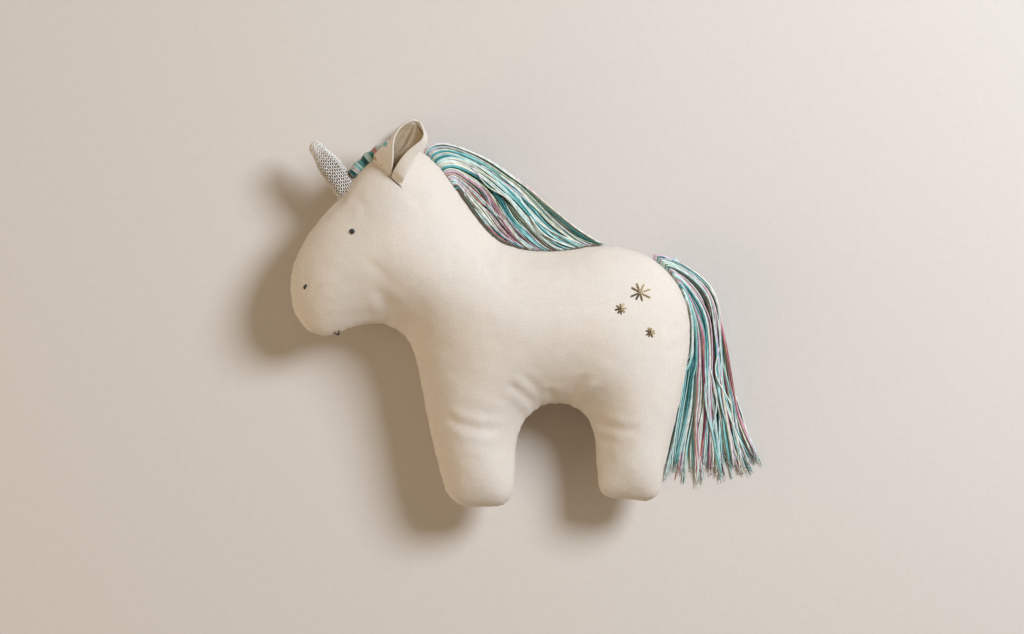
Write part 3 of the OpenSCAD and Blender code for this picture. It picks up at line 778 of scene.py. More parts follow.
def make_face(sizes):
    fine = sizes.embroidery_d / 2
    for side, word in ((NEAR, "near"), (FAR, "far")):
        middle, span = centre_of(f"eye_{word}")
        radius = min(span.x, span.y) / 2
        stitches = []
        for k in range(EYE_ROWS):
            off = (2 * (k + 0.5) / EYE_ROWS - 1) * radius
            half = math.sqrt(radius ** 2 - off ** 2)
            c = middle + turned(EYE_LEAN) * off
            stitches.append(stitch(c - EYE_LEAN * half, c + EYE_LEAN * half, side, 0.35 * MM + 0.45 * half))
        dye = [0.1 + 0.5 * (k % 3) / 2 for k in range(EYE_ROWS)]
        sewn(f"eye_{word}_satin", stitches, fine, "dark thread", dye, "dark_thread", f"eye_{word}")
        middle, span = centre_of(f"nostril_{word}")
        half = 0.5 * math.hypot(span.x, span.y) * 0.94
        stitches = []
        for k in range(NOSTRIL_ROWS):
            row = k - (NOSTRIL_ROWS - 1) / 2
            short = NOSTRIL_WAY * half * (1 - 0.22 * abs(row))
            c = middle + turned(NOSTRIL_WAY) * row * 0.5 * MM
            stitches.append(stitch(c - short, c + short, side, 0.7 * MM))
        dye = [0.2, 0.6, 0.3, 0.7]
        sewn(f"nostril_{word}_satin", stitches, fine, "dark thread", dye, "dark_thread", f"nostril_{word}")
    i = seam.nearest(*centre_of("mouth_stitch")[0])
    out, way = seam.out[i], turned(seam.out[i])
    low = seam.points[i] - out * 0.5 * MM
    stitches = []
    for lean, length in MOUTH_ARMS:
        for k in (0, 1):
            end = low - out * (1.9 + 0.4 * k) * MM + way * lean * (length + 0.4 * k * MM)
            stitches.append(stitch(low + way * lean * 0.3 * MM * k, end, NEAR, 0.6 * MM))
    dye = [0.2, 0.5, 0.4, 0.1]
    sewn("mouth_stitches", stitches, fine, "dark thread", dye, "dark_thread", "mouth_stitch")
    lo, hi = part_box("closing_stitches")
    stitches = []
    for k in range(CLOSING_STITCHES):
        x = lo.x + (hi.x - lo.x) * (k + 0.5) / CLOSING_STITCHES
        i = seam.nearest(x, (lo.y + hi.y) / 2)
        out, run = np.array([*seam.out[i], 0.0]), np.array([*turned(seam.out[i]), 0.0])
        base = np.array([*seam.points[i], SEAM_Z]) - out * 0.7 * MM
        path = [base + (UP * z + out * 0.9 * math.cos(z / CLOSING_REACH * math.pi / 2) + run * z * 0.12) * MM
                for z in np.linspace(-CLOSING_REACH, CLOSING_REACH, STITCH_STEPS)]
        stitches.append((path, [out] * STITCH_STEPS))
    dye = [0.2] * CLOSING_STITCHES
    sewn("closing_thread", stitches, 0.3 * MM, "cotton thread", dye, "cotton_thread", "closing_stitches")


RAYS, RAY_START, RAY_SPLIT = 8, 0.75 * MM, 0.3 * MM
STAR_TURNS = {"large": 0.32, "medium": 0.1, "small": 0.5}


def make_stars(sizes):
    rng = random.Random(sizes.star_seed)
    for name, turn in STAR_TURNS.items():
        centre, span = centre_of(f"star_{name}")
        reach = max(span.x, span.y) / 2
        stitches, dye = [], []
        for k in range(RAYS):
            angle = turn + k * 2 * math.pi / RAYS + rng.uniform(-0.1, 0.1)
            stretch = 1.18 if math.cos(angle) > 0.5 and name == "large" else 1
            long = reach * rng.uniform(0.86, 1.12) * stretch
            for strand in (-1, 1):
                way = np.array([math.cos(angle + 0.035 * strand), math.sin(angle + 0.035 * strand)])
                off = turned(way) * strand * RAY_SPLIT
                first, last = centre + way * RAY_START + off, centre + way * long + off * 0.6
                stitches.append(stitch(first, last, NEAR, 0.55 * MM))
                # Rays that point to the upper right, towards the key light, get a higher value and a lighter gold,
                # and the others a darker one: painted highlight and painted shade.
                painted_light = 0.5 + 0.42 * math.cos(angle - 0.6)
                dye.append(min(1, max(0, painted_light + rng.uniform(-0.15, 0.15))))
        sewn(f"star_{name}_rays", stitches, sizes.gold_d / 2, "gold thread", dye, "gold_thread", f"star_{name}")
        # Dark thread knots in each star's middle: painted shadow of the hole where the rays meet.
        knots = []
        for angle in (0, math.pi / 3, 2 * math.pi / 3):
            way = np.array([math.cos(angle), math.sin(angle)]) * 0.8 * MM
            knots.append(stitch(centre - way, centre + way, NEAR, 0.35 * MM))
        sewn(f"star_{name}_hole_shadow", knots, 0.26 * MM, "dark thread", [0.1, 0.2, 0.1], "dark_thread")


# ---------------------------------------------------------------- horn

def horn_frame():
    base = joint_place("horn_tilt")
    points, _ = node_arrays("horn_cover")
    tip = points[np.argmax(np.linalg.norm(points - np.array(base), axis=1))]
    axis = np.array(tip) - np.array(base)
    length = float(np.linalg.norm(axis))
    axis /= length
    return np.array(base), axis, np.cross(UP, axis), length


WAIST_SHARE = 0.42
HORN_ROOT = 8 * MM
LOOP_STEPS = 11
LOOP_LEAN, LOOP_TALL, LOOP_DEEP = 0.19, 0.70, 0.32 * MM
WADDING_AROUND, WADDING_RINGS, WADDING_DEPTH = 40, 34, 1.15 * MM
SEWING_STEPS = 9


def horn_outline(length, foot_r, tip_r):
    """Heights and radii of the horn from its root up to its round tip."""
    top, waist = length - tip_r, WAIST_SHARE * length
    taper, dome = np.linspace(0, 1, 14), np.linspace(0, math.pi / 2, 9)[1:]
    heights = np.concatenate([[-HORN_ROOT, 0.0], waist + (top - waist) * taper, top + tip_r * np.sin(dome)])
    sides = foot_r + (tip_r - foot_r) * smoothstep(taper)
    radii = np.concatenate([[foot_r, foot_r], sides, tip_r * np.cos(dome)])
    return heights, radii


def make_horn(sizes):
    base, axis, side, length = horn_frame()
    foot_r = sizes.horn_foot_d / 2
    heights, radii = horn_outline(length, foot_r, sizes.horn_tip_d / 2)
    run = np.concatenate([[0], np.cumsum(np.hypot(np.diff(heights), np.diff(radii)))])
    total = run[-1]

    def foot(angle):
        """How far along the outline the horn meets the forehead at an angle round it."""
        spoke = side * math.cos(angle) + UP * math.sin(angle)
        start = base + axis * 20 * MM + spoke * foot_r
        spot = made["skin"].ray_cast(Vector(start), Vector(-axis))[0]
        lowest = MM - HORN_ROOT
        height = lowest if spot is None else max(lowest, float((np.array(spot) - base) @ axis))
        return float(np.interp(height, heights, run)) - 0.6 * MM

    turns = np.linspace(0, 2 * math.pi, 73)
    feet = np.array([foot(a) for a in turns])
    feet[-1] = feet[0]

    def on_horn(angle, along, lift):
        q = np.clip(along, 0, total)
        r, h = np.interp(q, run, radii) + lift, np.interp(q, run, heights)
        spoke = side[None] * np.cos(angle)[:, None] + UP[None] * np.sin(angle)[:, None]
        return base + axis * h[:, None] + spoke * r[:, None], spoke

    wales, courses = sizes.wales, sizes.courses
    steps = LOOP_STEPS * wales * courses
    phase = np.linspace(0, 2 * math.pi * wales * courses, steps)
    angle0 = phase / wales
    share = phase / phase[-1]
    start = np.interp(np.mod(angle0, 2 * math.pi), turns, feet)
    r_here = np.maximum(np.interp(start + share * (total - start), run, radii), 2 * MM)
    pitch = 2 * math.pi * r_here / wales
    angle = angle0 + LOOP_LEAN * pitch * np.sin(2 * phase) / r_here
    along = start + share * (total - start - 1.4 * MM) + total / courses * LOOP_TALL * np.cos(phase)
    places = np.stack([np.cos(angle0) * 9, np.sin(angle0) * 9, share * 40], 1)
    fine = soft_bumps(places[::LOOP_STEPS], 1.0, 5)
    uneven = np.interp(np.arange(steps), np.arange(0, steps, LOOP_STEPS), fine)
    lift = LOOP_DEEP * np.cos(2 * phase) + 0.12 * MM * uneven
    path, spoke = on_horn(angle, along + 0.25 * MM * uneven, lift)
    rng = random.Random(sizes.horn_seed)
    picks = np.array([rng.random() for _ in range(wales * courses + 1)])
    slow = soft_bumps(np.stack([np.arange(wales * courses + 1) * 0.11] * 3, 1), 1.0, 7)
    dyes = np.clip(0.48 + 0.35 * slow + 0.75 * (picks - 0.5), 0, 1)
    dye = np.interp(phase / (2 * math.pi), np.arange(len(dyes)), dyes)
    knit = threads("horn_knit", path[None], sizes.horn_yarn_d / 2, material("lurex knit"),
                   ups=spoke[None], dye=dye[None])
    stands_for(knit, "gold_knit", "horn_cover")
    around, rings = WADDING_AROUND, WADDING_RINGS
    a = np.linspace(0, 2 * math.pi, around, endpoint=False)
    q = np.interp(a, turns, feet) - 2.5 * MM
    points = np.concatenate([on_horn(a, q + t * (total - q), -WADDING_DEPTH * (1 - t ** 12))[0]
                             for t in np.linspace(0, 1, rings)])
    faces = []
    for low in range(0, (rings - 1) * around, around):
        for i in range(around):
            j = (i + 1) % around
            faces.append([low + i, low + j, low + around + j, low + around + i])
    faces.append(list(reversed(range(around))))
    faces.append([(rings - 1) * around + i for i in range(around)])
    # The wadding under the knit is coloured near black: painted shadow in the holes between the loops.
    core = from_lists("horn_wadding", points, faces, material("horn wadding"))
    weld = bmesh.new()
    weld.from_mesh(core.data)
    bmesh.ops.remove_doubles(weld, verts=weld.verts, dist=0.05 * MM)
    bmesh.ops.recalc_face_normals(weld, faces=weld.faces)
    weld.to_mesh(core.data)
    weld.free()
    stands_for(core, "wadding", "horn_filling")
    stitches, dye, count = [], [], sizes.horn_stitches
    for k in range(count):
        a = 2 * math.pi * (k + 0.5) / count
        q = np.interp(a, turns, feet)
        lean = 0.05 * (-1) ** k
        high, _ = on_horn(np.array([a]), np.array([q + 1.6 * MM]), 0.5 * MM)
        spoke = side * math.cos(a + lean) + UP * math.sin(a + lean)
        out = base + axis * np.interp(q, run, heights) + spoke * (foot_r + 1.5 * MM)
        low = np.array(made["skin"].find_nearest(Vector(out))[0])
        middle = (high[0] + low) / 2 + spoke * 0.6 * MM + axis * 0.3 * MM
        inside = low - spoke * 0.3 * MM - axis * 0.5 * MM
        path = smooth_line([high[0] - spoke * 0.5 * MM, high[0], middle, low, inside], SEWING_STEPS)
        stitches.append((path, [spoke] * SEWING_STEPS))
        dye.append(rng.random() * 0.5)
    sewing = worked("horn_sewing", stitches, 0.36 * MM, "lurex knit", dye)
    stands_for(sewing, "cotton_thread", "horn_stitches")
    for obj in (knit, core, sewing):
        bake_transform(obj)


# ---------------------------------------------------------------- ears

# Sections of the rolled ear from its dart up to its tip. Each gives its distance along the ear, and
# (across, over) for the left rim, the left bulge, the back, the right bulge and the right lip, in millimetres.
EAR_SECTIONS = [
    (0.0, (0.5, 1.2), (-20.5, 0.0), (-6.0, -0.6), (11.6, 0.0), (1.5, 2.0)),
    (7.0, (-1.4, 4.6), (-20.0, 1.6), (-3.0, -1.5), (12.3, 1.6), (2.2, 6.0)),
    (15.0, (-4.2, 7.2), (-17.6, 3.2), (0.0, -2.6), (12.8, 3.0), (3.6, 8.6)),
    (22.5, (-7.2, 7.6), (-11.6, 3.8), (2.0, -3.8), (13.6, 3.6), (6.6, 9.2)),
    (29.5, (-8.8, 7.0), (-10.4, 3.6), (3.5, -4.4), (15.8, 3.6), (10.6, 8.0)),
    (36.5, (-8.2, 6.0), (-8.8, 3.0), (4.0, -3.4), (16.6, 3.2), (14.8, 6.2)),
    (42.5, (-5.6, 4.6), (-5.6, 2.2), (4.2, -1.8), (14.4, 2.4), (14.0, 4.6)),
    (47.0, (-2.2, 3.0), (-2.0, 1.4), (4.2, -0.6), (10.0, 1.6), (9.8, 3.0)),
    (49.4, (1.6, 1.6), (2.0, 0.9), (4.4, 0.3), (6.6, 0.9), (6.9, 1.6)),
]


EAR_WAY = unit(np.array([0.37, 0.93]))
EAR_SHIFT = 3.4 * MM
# How far up the ear its slanting foot evens out, in millimetres
FOOT_REACH = 26.0
FOOT_TILT, TOP_TILT = 0.55, 0.22
FOOT_ROWS = 3
FAR_EAR_SQUEEZE = 0.9
FAR_EAR_FLOOR = 1.6 * MM
# Creases in the lining: height in millimetres, place and width as shares of its breadth
LINING_CREASES = ((2.6, 0.56, 0.08), (1.4, 0.33, 0.05), (1.2, 0.80, 0.05))
LINING_SIDES, LINING_TOP, LINING_SHARE = (0.05, 0.88), 0.945, 0.9
RIM_STEPS, DART_STEPS = 150, 40
# Where the dark tube of painted shadow lies along the dart, and how far it sits off the dart's line
SLIT_FROM, SLIT_RUN = 0.52, 0.54
SLIT_OFFSET = np.array([-0.55, -0.83]) * MM


def ear_sheet(sizes):
    """Middle points of the near ear's cloth, up its length and from the left rim to the right lip."""
    stations = np.array([s[0] for s in EAR_SECTIONS])
    around = np.array([smooth_line(s[1:], sizes.ear_columns) for s in EAR_SECTIONS])
    fine = np.linspace(0, stations[-1], sizes.ear_rows)
    rows = np.array([[np.interp(fine, stations, around[:, c, k]) for k in (0, 1)]
                     for c in range(sizes.ear_columns)]).transpose(2, 0, 1)
    for _ in range(2):
        rows[1:-1] = 0.25 * rows[:-2] + 0.5 * rows[1:-1] + 0.25 * rows[2:]
    foot = joint_place("near_ear_flop")
    lo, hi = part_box("ear_near_seam")
    high, low = np.array([lo.x, hi.y]), np.array([hi.x, lo.y])
    across = -turned(EAR_WAY)
    origin = np.array(foot.xy) + across * EAR_SHIFT
    slant = float((high - low) @ EAR_WAY / ((high - low) @ across))
    at_high = float((high - origin) @ EAR_WAY) - slant * float((high - origin) @ across)
    points = np.zeros((len(fine), sizes.ear_columns, 3))
    for i, s in enumerate(fine):
        for k in range(sizes.ear_columns):
            a, b = rows[i, k] * MM
            share = 1 - float(smoothstep(s / FOOT_REACH))
            along = s * MM + (at_high + slant * a) * share
            xy = origin + EAR_WAY * along + across * a
            tilt = FOOT_TILT * share + TOP_TILT * (1 - share)
            z = foot.z + 0.5 * MM + tilt * a + 0.1 * s * MM + b
            on_head = made["skin"].ray_cast(Vector((*xy, SKY)), Vector((0, 0, -1)))[0]
            if on_head is not None:
                floor = on_head.z + (-0.5 if i == 0 else min(1.0, s / 5) * 1.1) * MM
                z = floor + max(0.0, b + 0.6 * MM) * min(1, s / 4) if i < FOOT_ROWS else max(z, floor)
            points[i, k] = (*xy, z)
    return points


def sheet_normals(points):
    along, across = np.gradient(points, axis=0), np.gradient(points, axis=1)
    return unit(np.cross(across, along))


def shell(name, front, back, finish):
    """A closed thin shell between two grids of points."""
    rows, cols, _ = front.shape
    points = np.concatenate([front.reshape(-1, 3), back.reshape(-1, 3)])
    n = rows * cols
    faces = []
    for i in range(rows - 1):
        for k in range(cols - 1):
            a, b, c, d = i * cols + k, i * cols + k + 1, (i + 1) * cols + k + 1, (i + 1) * cols + k
            faces += [[a, b, c, d], [n + d, n + c, n + b, n + a]]
    edge = ([(0, k) for k in range(cols)] + [(i, cols - 1) for i in range(1, rows)]
            + [(rows - 1, k) for k in range(cols - 2, -1, -1)] + [(i, 0) for i in range(rows - 2, 0, -1)])
    for (i, k), (j, m) in zip(edge, edge[1:] + edge[:1]):
        a, b = i * cols + k, j * cols + m
        faces.append([b, a, n + a, n + b])
    obj = from_lists(name, points, faces)
    bm = bmesh.new()
    bm.from_mesh(obj.data)
    bmesh.ops.recalc_face_normals(bm, faces=bm.faces)
    bm.to_mesh(obj.data)
    bm.free()
    finer = obj.modifiers.new("finer", "SUBSURF")
    finer.levels = finer.render_levels = 1
    apply_modifiers(obj)
    dress(obj, finish)
    return obj


def mirrored_ear(near):
    """The far ear's cloth, as the near one's mirror pressed a little flatter against the head."""
    far = near.copy()
    far[:, :, 2] = SEAM_Z - (near[:, :, 2] - SEAM_Z) * FAR_EAR_SQUEEZE
    for i, row in enumerate(far):
        for spot in row:
            under = made["skin"].ray_cast(Vector((*spot[:2], -SKY)), Vector((0, 0, 1)))[0]
            if under is not None:
                lowest = under.z - (-0.5 if i == 0 else 0.9) * MM
                spot[2] = lowest if i < FOOT_ROWS else min(spot[2], lowest)
    far[:, :, 2] = np.maximum(far[:, :, 2], FAR_EAR_FLOOR)
    return far


def resampled(sheet, shares):
    """Each row of a sheet read again at its own shares along it."""
    even = np.linspace(0, 1, sheet.shape[1])
    return np.array([np.stack([np.interp(share, even, row[:, k]) for k in range(3)], 1)
                     for row, share in zip(sheet, shares)])


def lining_sheets(sheet, inward, cloth):
    """The front and the back of the linen inside an ear, with its creases."""
    rows, cols, _ = sheet.shape
    inner = resampled(sheet, [np.linspace(*LINING_SIDES, cols)] * rows)
    tops = LINING_TOP - 0.16 * np.abs(np.linspace(-1, 1, cols)) ** 3
    lengthwise = resampled(inner.transpose(1, 0, 2), [np.linspace(0.03, top, rows) for top in tops])
    inner = lengthwise.transpose(1, 0, 2)
    facing = sheet_normals(inner)
    facing *= 1 if float(np.sum(facing * inward)) > 0 else -1
    breadth = np.linspace(0, 1, cols)[None, :, None]
    crease = sum(high * MM * np.exp(-((breadth - at) / wide) ** 2) for high, at, wide in LINING_CREASES)
    crease = crease * np.sin(np.linspace(0.25, 2.95, rows))[:, None, None]
    back = inner + facing * (0.35 * MM + crease)
    return back + facing * cloth, back


def sew_dart(word, side):
    """The ridge where the ear is sewn in, and below it a dark tube that is painted shadow in the opening of the
    dart.
    """
    lo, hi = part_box(f"ear_{word}_seam")
    a, b = np.array([lo.x, hi.y]), np.array([hi.x, lo.y])
    ridge, slit_shadow = [], []
    for t in np.linspace(0, 1, DART_STEPS):
        spot, way = touch(*(a + (b - a) * t), side)
        ridge.append(spot + way * 0.25 * MM)
        spot, way = touch(*(a + (b - a) * (SLIT_FROM + SLIT_RUN * t) + SLIT_OFFSET), side)
        slit_shadow.append(spot + way * 0.05 * MM)
    thick = 0.75 * MM * np.sin(np.linspace(0.15, 2.99, DART_STEPS))[None] ** 0.5
    fold = threads(f"ear_{word}_dart", [ridge], thick, material("brushed cotton"), sides=8)
    # A thin dark brown tube along the lower half of the dart: painted shadow of the opening under the ridge.
    thick = 0.55 * MM * np.sin(np.linspace(0.1, 3.04, DART_STEPS))[None] ** 0.6
    gap = threads(f"ear_{word}_slit", [slit_shadow], thick, material("dart shade"))
    finish_piece(fold, "body", "cotton", f"ear_{word}_seam")
    finish_piece(gap, "body", "cotton")


def make_ears(sizes):
    near = ear_sheet(sizes)
    cloth = sizes.ear_cloth
    for word, side, sheet in (("near", NEAR, near), ("far", FAR, mirrored_ear(near))):
        inward = sheet_normals(sheet)
        inward *= 1 if inward[8, sheet.shape[1] // 2, 2] * side > 0 else -1
        outer = shell(f"ear_{word}_cloth", sheet + inward * 0.1 * MM, sheet - inward * cloth, "brushed cotton")
        lining = shell(f"ear_{word}_linen", *lining_sheets(sheet, inward, cloth), "linen lining")
        edge = np.concatenate([sheet[1:, 0], sheet[-1, 1:-1], sheet[::-1, -1][:-1]])
        rim = threads(f"ear_{word}_rim", smooth_line(edge, RIM_STEPS)[None], sizes.ear_rim_d / 2,
                      material("brushed cotton"), sides=8)
        sew_dart(word, side)
        stands_for(outer, "cotton", f"ear_{word}")
        stands_for(lining, "linen", f"ear_{word}_lining")
        stands_for(rim, "cotton")
        for piece in (outer, lining, rim):
            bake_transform(piece)


# ---------------------------------------------------------------- yarn

LOCKS = 8
STRAND_STEPS = 46
ROOT_SHARE = {"tail": 0.17, "mane": 0.2}
LEAVE_MORE = {"tail": 6.5, "mane": 12}
WAVE_MORE = {"tail": 2.6, "mane": 1.6}
SPEED_MORE = {"tail": 1.3, "mane": 1}
QUIVER = {"tail": 0.5, "mane": 0.8}
STRAND_GAP, LAP_UNDER, LAP_FROM = 1.6 * MM, 7.0 * MM, 16 * MM
TIP_D, TIP_STEPS, TIPS_EACH, TIP_GAP = 0.44 * MM, 7, 2, 0.5 * MM
WRAPS, WRAP_PITCH, WRAP_R, WRAP_D, WRAP_STEPS = 7, 1.0 * MM, 4.2 * MM, 1.2 * MM, 41
WRAP_BACK, WRAP_DROP = 1.5 * MM, 5 * MM
ROOT_GROUPS, LEAST_LEAVE = 8, 0.8 * MM


def middle_line(name, pivot, steps):
    """Middle points of a long CAD lock, cut across at even steps from its end by the pivot."""
    points, edges = node_arrays(name)
    away = np.linalg.norm(points - pivot, axis=1)
    order = np.argsort(away)
    first, last = points[order[:8]].mean(0), points[order[-8:]].mean(0)
    chord = last - first
    h = (points - first) @ chord / (chord @ chord)
    line = []
    for t in np.linspace(0.03, 0.97, steps):
        a, b = h[edges[:, 0]], h[edges[:, 1]]
        cut = (a - t) * (b - t) < 0
        k = ((t - a[cut]) / (b[cut] - a[cut]))[:, None]
        p = points[edges[cut, 0]] * (1 - k) + points[edges[cut, 1]] * k
        line.append((p.min(0) + p.max(0)) / 2)
    return np.array(line)


class Fringe:
    """The space that the locks of the mane or tail fill: lanes side by side, in a lower and an upper layer."""

    def __init__(self, word, root_from, root_to, steps=14):
        self.pivot = np.array(joint_place(f"{word}_swing"))
        lines = [middle_line(f"{word}_lock_{n}", self.pivot, steps) for n in range(1, LOCKS + 1)]
        self.low, self.high = np.array(lines[:LOCKS // 2]), np.array(lines[LOCKS // 2:])
        self.word, self.root_from, self.root_to = word, root_from, root_to

    def at(self, u, w, row):
        """A place in the fringe: u over the lanes from 0 to 1, w up through the layers, row along them."""
        lane = -0.42 + 3.84 * u
        k = int(min(2, max(0, math.floor(lane))))
        f = lane - k
        low = self.low[k, row] * (1 - f) + self.low[k + 1, row] * f
        high = self.high[k, row] * (1 - f) + self.high[k + 1, row] * f
        return low + (high - low) * (-0.35 + 1.7 * w)


def picked_dye(rng):
    return rng.uniform(*rng.choices(DYE_PICKS, DYE_SHARES)[0])


def lock_of(rng, u, word):
    """What the strands of one lock share: place over the lanes, layer, lean, waves, length and dye."""
    return {"u": u, "w": rng.random() ** 0.8,
            "bend": rng.uniform(-0.07, 0.07), "drift": rng.uniform(-0.13, 0.13),
            "phase": rng.uniform(0, 6.3), "speed": rng.uniform(2, 4.5) * SPEED_MORE[word],
            "wave": rng.uniform(0.3, 1.0) * WAVE_MORE[word] * MM,
            "ragged": rng.uniform(-8, 12) * MM, "dye": picked_dye(rng)}


def share_of(value):
    return min(1, max(0, value))


def strand_paths(fringe, sizes, count, seed):
    """Paths of the yarn strands and their dye, from the seam to the whipping and from there to their ends."""
    word, tail = fringe.word, fringe.word == "tail"
    rng = random.Random(seed)
    rows = fringe.low.shape[1]
    t = np.linspace(0, 1, STRAND_STEPS)
    lock_count = count // sizes.lock_strands
    locks = [lock_of(rng, (n + 0.5) / lock_count, word) for n in range(lock_count)]
    paths, dyes = [], []
    for n in range(count):
        lock = locks[n * lock_count // count]
        own = rng.uniform(-1, 1)
        u = share_of(lock["u"] + own * 1.1 / lock_count)
        w = share_of(lock["w"] + rng.uniform(-0.22, 0.22))
        spot, out = seam.place(fringe.root_from, fringe.root_to, (n + rng.random()) / count)
        rise = (w - 0.5) * 9 * MM
        leave = spot + out * (1.5 + LEAVE_MORE[word] * u) * MM
        knots = [np.array([*(spot - out * 1.5 * MM), SEAM_Z + rise * 0.35]),
                 np.array([*leave, SEAM_Z + rise * 0.8 + 1.5 * MM])]
        for row in range(5 - int(3 * min(1, 1.6 * u)), rows, 2):
            share = row / (rows - 1)
            bend = lock["bend"] * math.sin(3.1 * share + lock["phase"])
            here = share_of(u + bend + lock["drift"] * share ** 2)
            knots.append(fringe.at(here, w, row))
        if tail:
            way = unit(unit(knots[-1] - knots[-2]) + np.array([0.3 * (u - 0.45), 0, 0]))
            knots[-1] = fringe.at(here, w, rows - 1) + way * (lock["ragged"] + rng.uniform(-5, 5) * MM)
            knots[-1][2] = max(1.2 * MM, knots[-1][2] * 0.6)
        path = smooth_line(knots, STRAND_STEPS)
        for _ in range(12):
            path[2:-1] = 0.25 * path[1:-2] + 0.5 * path[2:-1] + 0.25 * path[3:]
        side = unit(np.cross(unit(np.gradient(path, axis=0)), UP))
        wave = np.sin(lock["phase"] + lock["speed"] * math.pi * t)
        wave *= lock["wave"] * t * smoothstep((t - 0.15) / 0.4)
        wave += 0.7 * MM * t * np.sin(own * 9 + (lock["speed"] + 1 + own) * math.pi * t)
        path += side * wave[:, None]
        path[:, 2] += QUIVER[word] * MM * t * np.sin(own * 7 + lock["speed"] * 2.6 * t)
        if rng.random() < sizes.stray_share:
            hump = np.exp(-((t - rng.uniform(0.45, 0.9)) / rng.uniform(0.08, 0.2)) ** 2)
            path += side * (rng.choice((-1, 1)) * rng.uniform(3, 9) * MM * hump)[:, None]
            path[:, 2] += 3 * MM * hump
        hug_body(path, u, t, tail, rng.uniform(0.4, 2.0) * MM)
        path[:, 2] = np.maximum(path[:, 2], sizes.yarn_d / 2 + 0.15 * MM)
        shift = np.array([noise.noise(Vector((u * 5, 9.1 + seed, 2.2 * s))) for s in t])
        pale = rng.random() < sizes.pale_share
        base = rng.uniform(0.34, 0.62) if pale else lock["dye"] + rng.gauss(0, 0.09)
        paths.append(path)
        dyes.append(np.clip(base + (0.1 if pale else 0.3) * shift, 0, 1))
    split = int(STRAND_STEPS * ROOT_SHARE[word])
    paths, dyes = np.array(paths), np.array(dyes)
    return paths[:, :split + 1], paths[:, split:], dyes[:, :split + 1], dyes[:, split:]


def hug_body(path, u, t, tail, end):
    """Draws the strands of the body's side of a fringe to its outline, and keeps all of them outside it."""
    close = 0.08 + 0.92 * float(smoothstep(u / 0.45))
    for k in range(3, len(path)):
        gap, out = seam.outside(*path[k, :2])
        least = -LAP_UNDER if tail and path[k, 2] <= LAP_FROM else STRAND_GAP
        draw = float(smoothstep((t[k] - 0.02) / 0.14))
        wanted = least + (gap - least) * (1 - draw * (1 - close))
        if not tail:
            wanted += (end - wanted) * max(0.0, (t[k] - 0.55) / 0.45) ** 2
        path[k, :2] += out * (max(wanted, least) - gap)
    for _ in range(3):
        path[3:-1] = 0.25 * path[2:-2] + 0.5 * path[3:-1] + 0.25 * path[4:]


def frayed_tips(longs, long_dye, rng, tail):
    """Short loose ends at the cut of each strand, with their dye."""
    tips, dyes = [], []
    for p, d in zip(longs, long_dye):
        for _ in range(TIPS_EACH):
            astray = np.array([rng.uniform(-0.35, 0.35), rng.uniform(-0.35, 0.35), -0.1])
            way = unit(unit(p[-1] - p[-3]) + astray)
            end = p[-1] + way * rng.uniform(1, 3.5) * MM
            end[2] = max(end[2], 0.6 * MM)
            tips.append(smooth_line([p[-2], p[-1], (p[-1] + end) / 2 + UP * 0.3 * MM, end], TIP_STEPS))
            dyes.append([d[-1]] * TIP_STEPS)
    for line in () if tail else tips:
        for spot in line[2:]:
            gap, out = seam.outside(*spot[:2])
            spot[:2] += out * max(0.0, TIP_GAP - gap)
    return np.array(tips), np.array(dyes)


def make_whipping(word, pivot, axis, wide):
    """Turns of yarn that bind the fringe, flattened between the panels."""
    wraps = []
    for k in range(WRAPS):
        off = (k - WRAPS // 2) * WRAP_PITCH
        r = math.sqrt(WRAP_R ** 2 - off ** 2)
        middle = pivot + axis * (off - WRAP_BACK) - UP * WRAP_DROP
        wraps.append([middle + wide * r * math.cos(a) + UP * 0.5 * r * math.sin(a)
                      for a in np.linspace(0, 2 * math.pi, WRAP_STEPS)])
    obj = threads(f"{word}_whipping_thread", wraps, WRAP_D / 2, material("dyed yarn"), ups=axis,
                  dye=[[0.1 + 0.05 * k] for k in range(WRAPS)])
    finish_piece(obj, f"{word}_binding", "yarn", f"{word}_whipping")


def make_fringe(sizes, word, count, seed):
    lo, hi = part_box(f"{word}_root")
    fringe = Fringe(word, (hi.x, lo.y), (lo.x, hi.y))
    roots, longs, root_dye, long_dye = strand_paths(fringe, sizes, count, seed)
    rng = random.Random(seed + 1)
    radius = sizes.yarn_d / 2 * np.array([rng.uniform(0.8, 1.15) for _ in range(count)])[:, None]
    yarn = material("dyed yarn")
    ends = 1 - 0.45 * smoothstep((np.linspace(0, 1, longs.shape[1])[None] - 0.9) / 0.1)
    long_piece = threads(f"{word}_yarn", longs, radius * ends, yarn, dye=long_dye)
    tips, tip_dye = frayed_tips(longs, long_dye, rng, word == "tail")
    tip_piece = threads(f"{word}_frayed_ends", tips, TIP_D / 2, yarn, dye=tip_dye, sides=4)
    out = seam.place(fringe.root_from, fringe.root_to, 0.5)[1]
    axis, wide = np.array([*out, 0.0]), np.array([*turned(out), 0.0])
    make_whipping(word, fringe.pivot, axis, wide)
    stands_for(long_piece, "yarn", *[f"{word}_lock_{n}" for n in range(1, LOCKS + 1)])
    stands_for(tip_piece, "yarn")
    for piece in (long_piece, tip_piece):
        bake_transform(piece)
    along = np.argsort(roots[:, 0] @ wide)
    for n, group in enumerate(np.array_split(along, ROOT_GROUPS), 1):
        piece = threads(f"{word}_yarn_roots_{n}", roots[group], radius[group], yarn, dye=root_dye[group])
        stands_for(piece, "yarn", *[f"{word}_root"] * (n == 1))
        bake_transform(piece)


FORELOCK_REACH, FORELOCK_SINK, FORELOCK_STEPS, FORELOCK_TOP = 11.0 * MM, 6 * MM, 20, 1.25
SHADE_STRANDS = 5


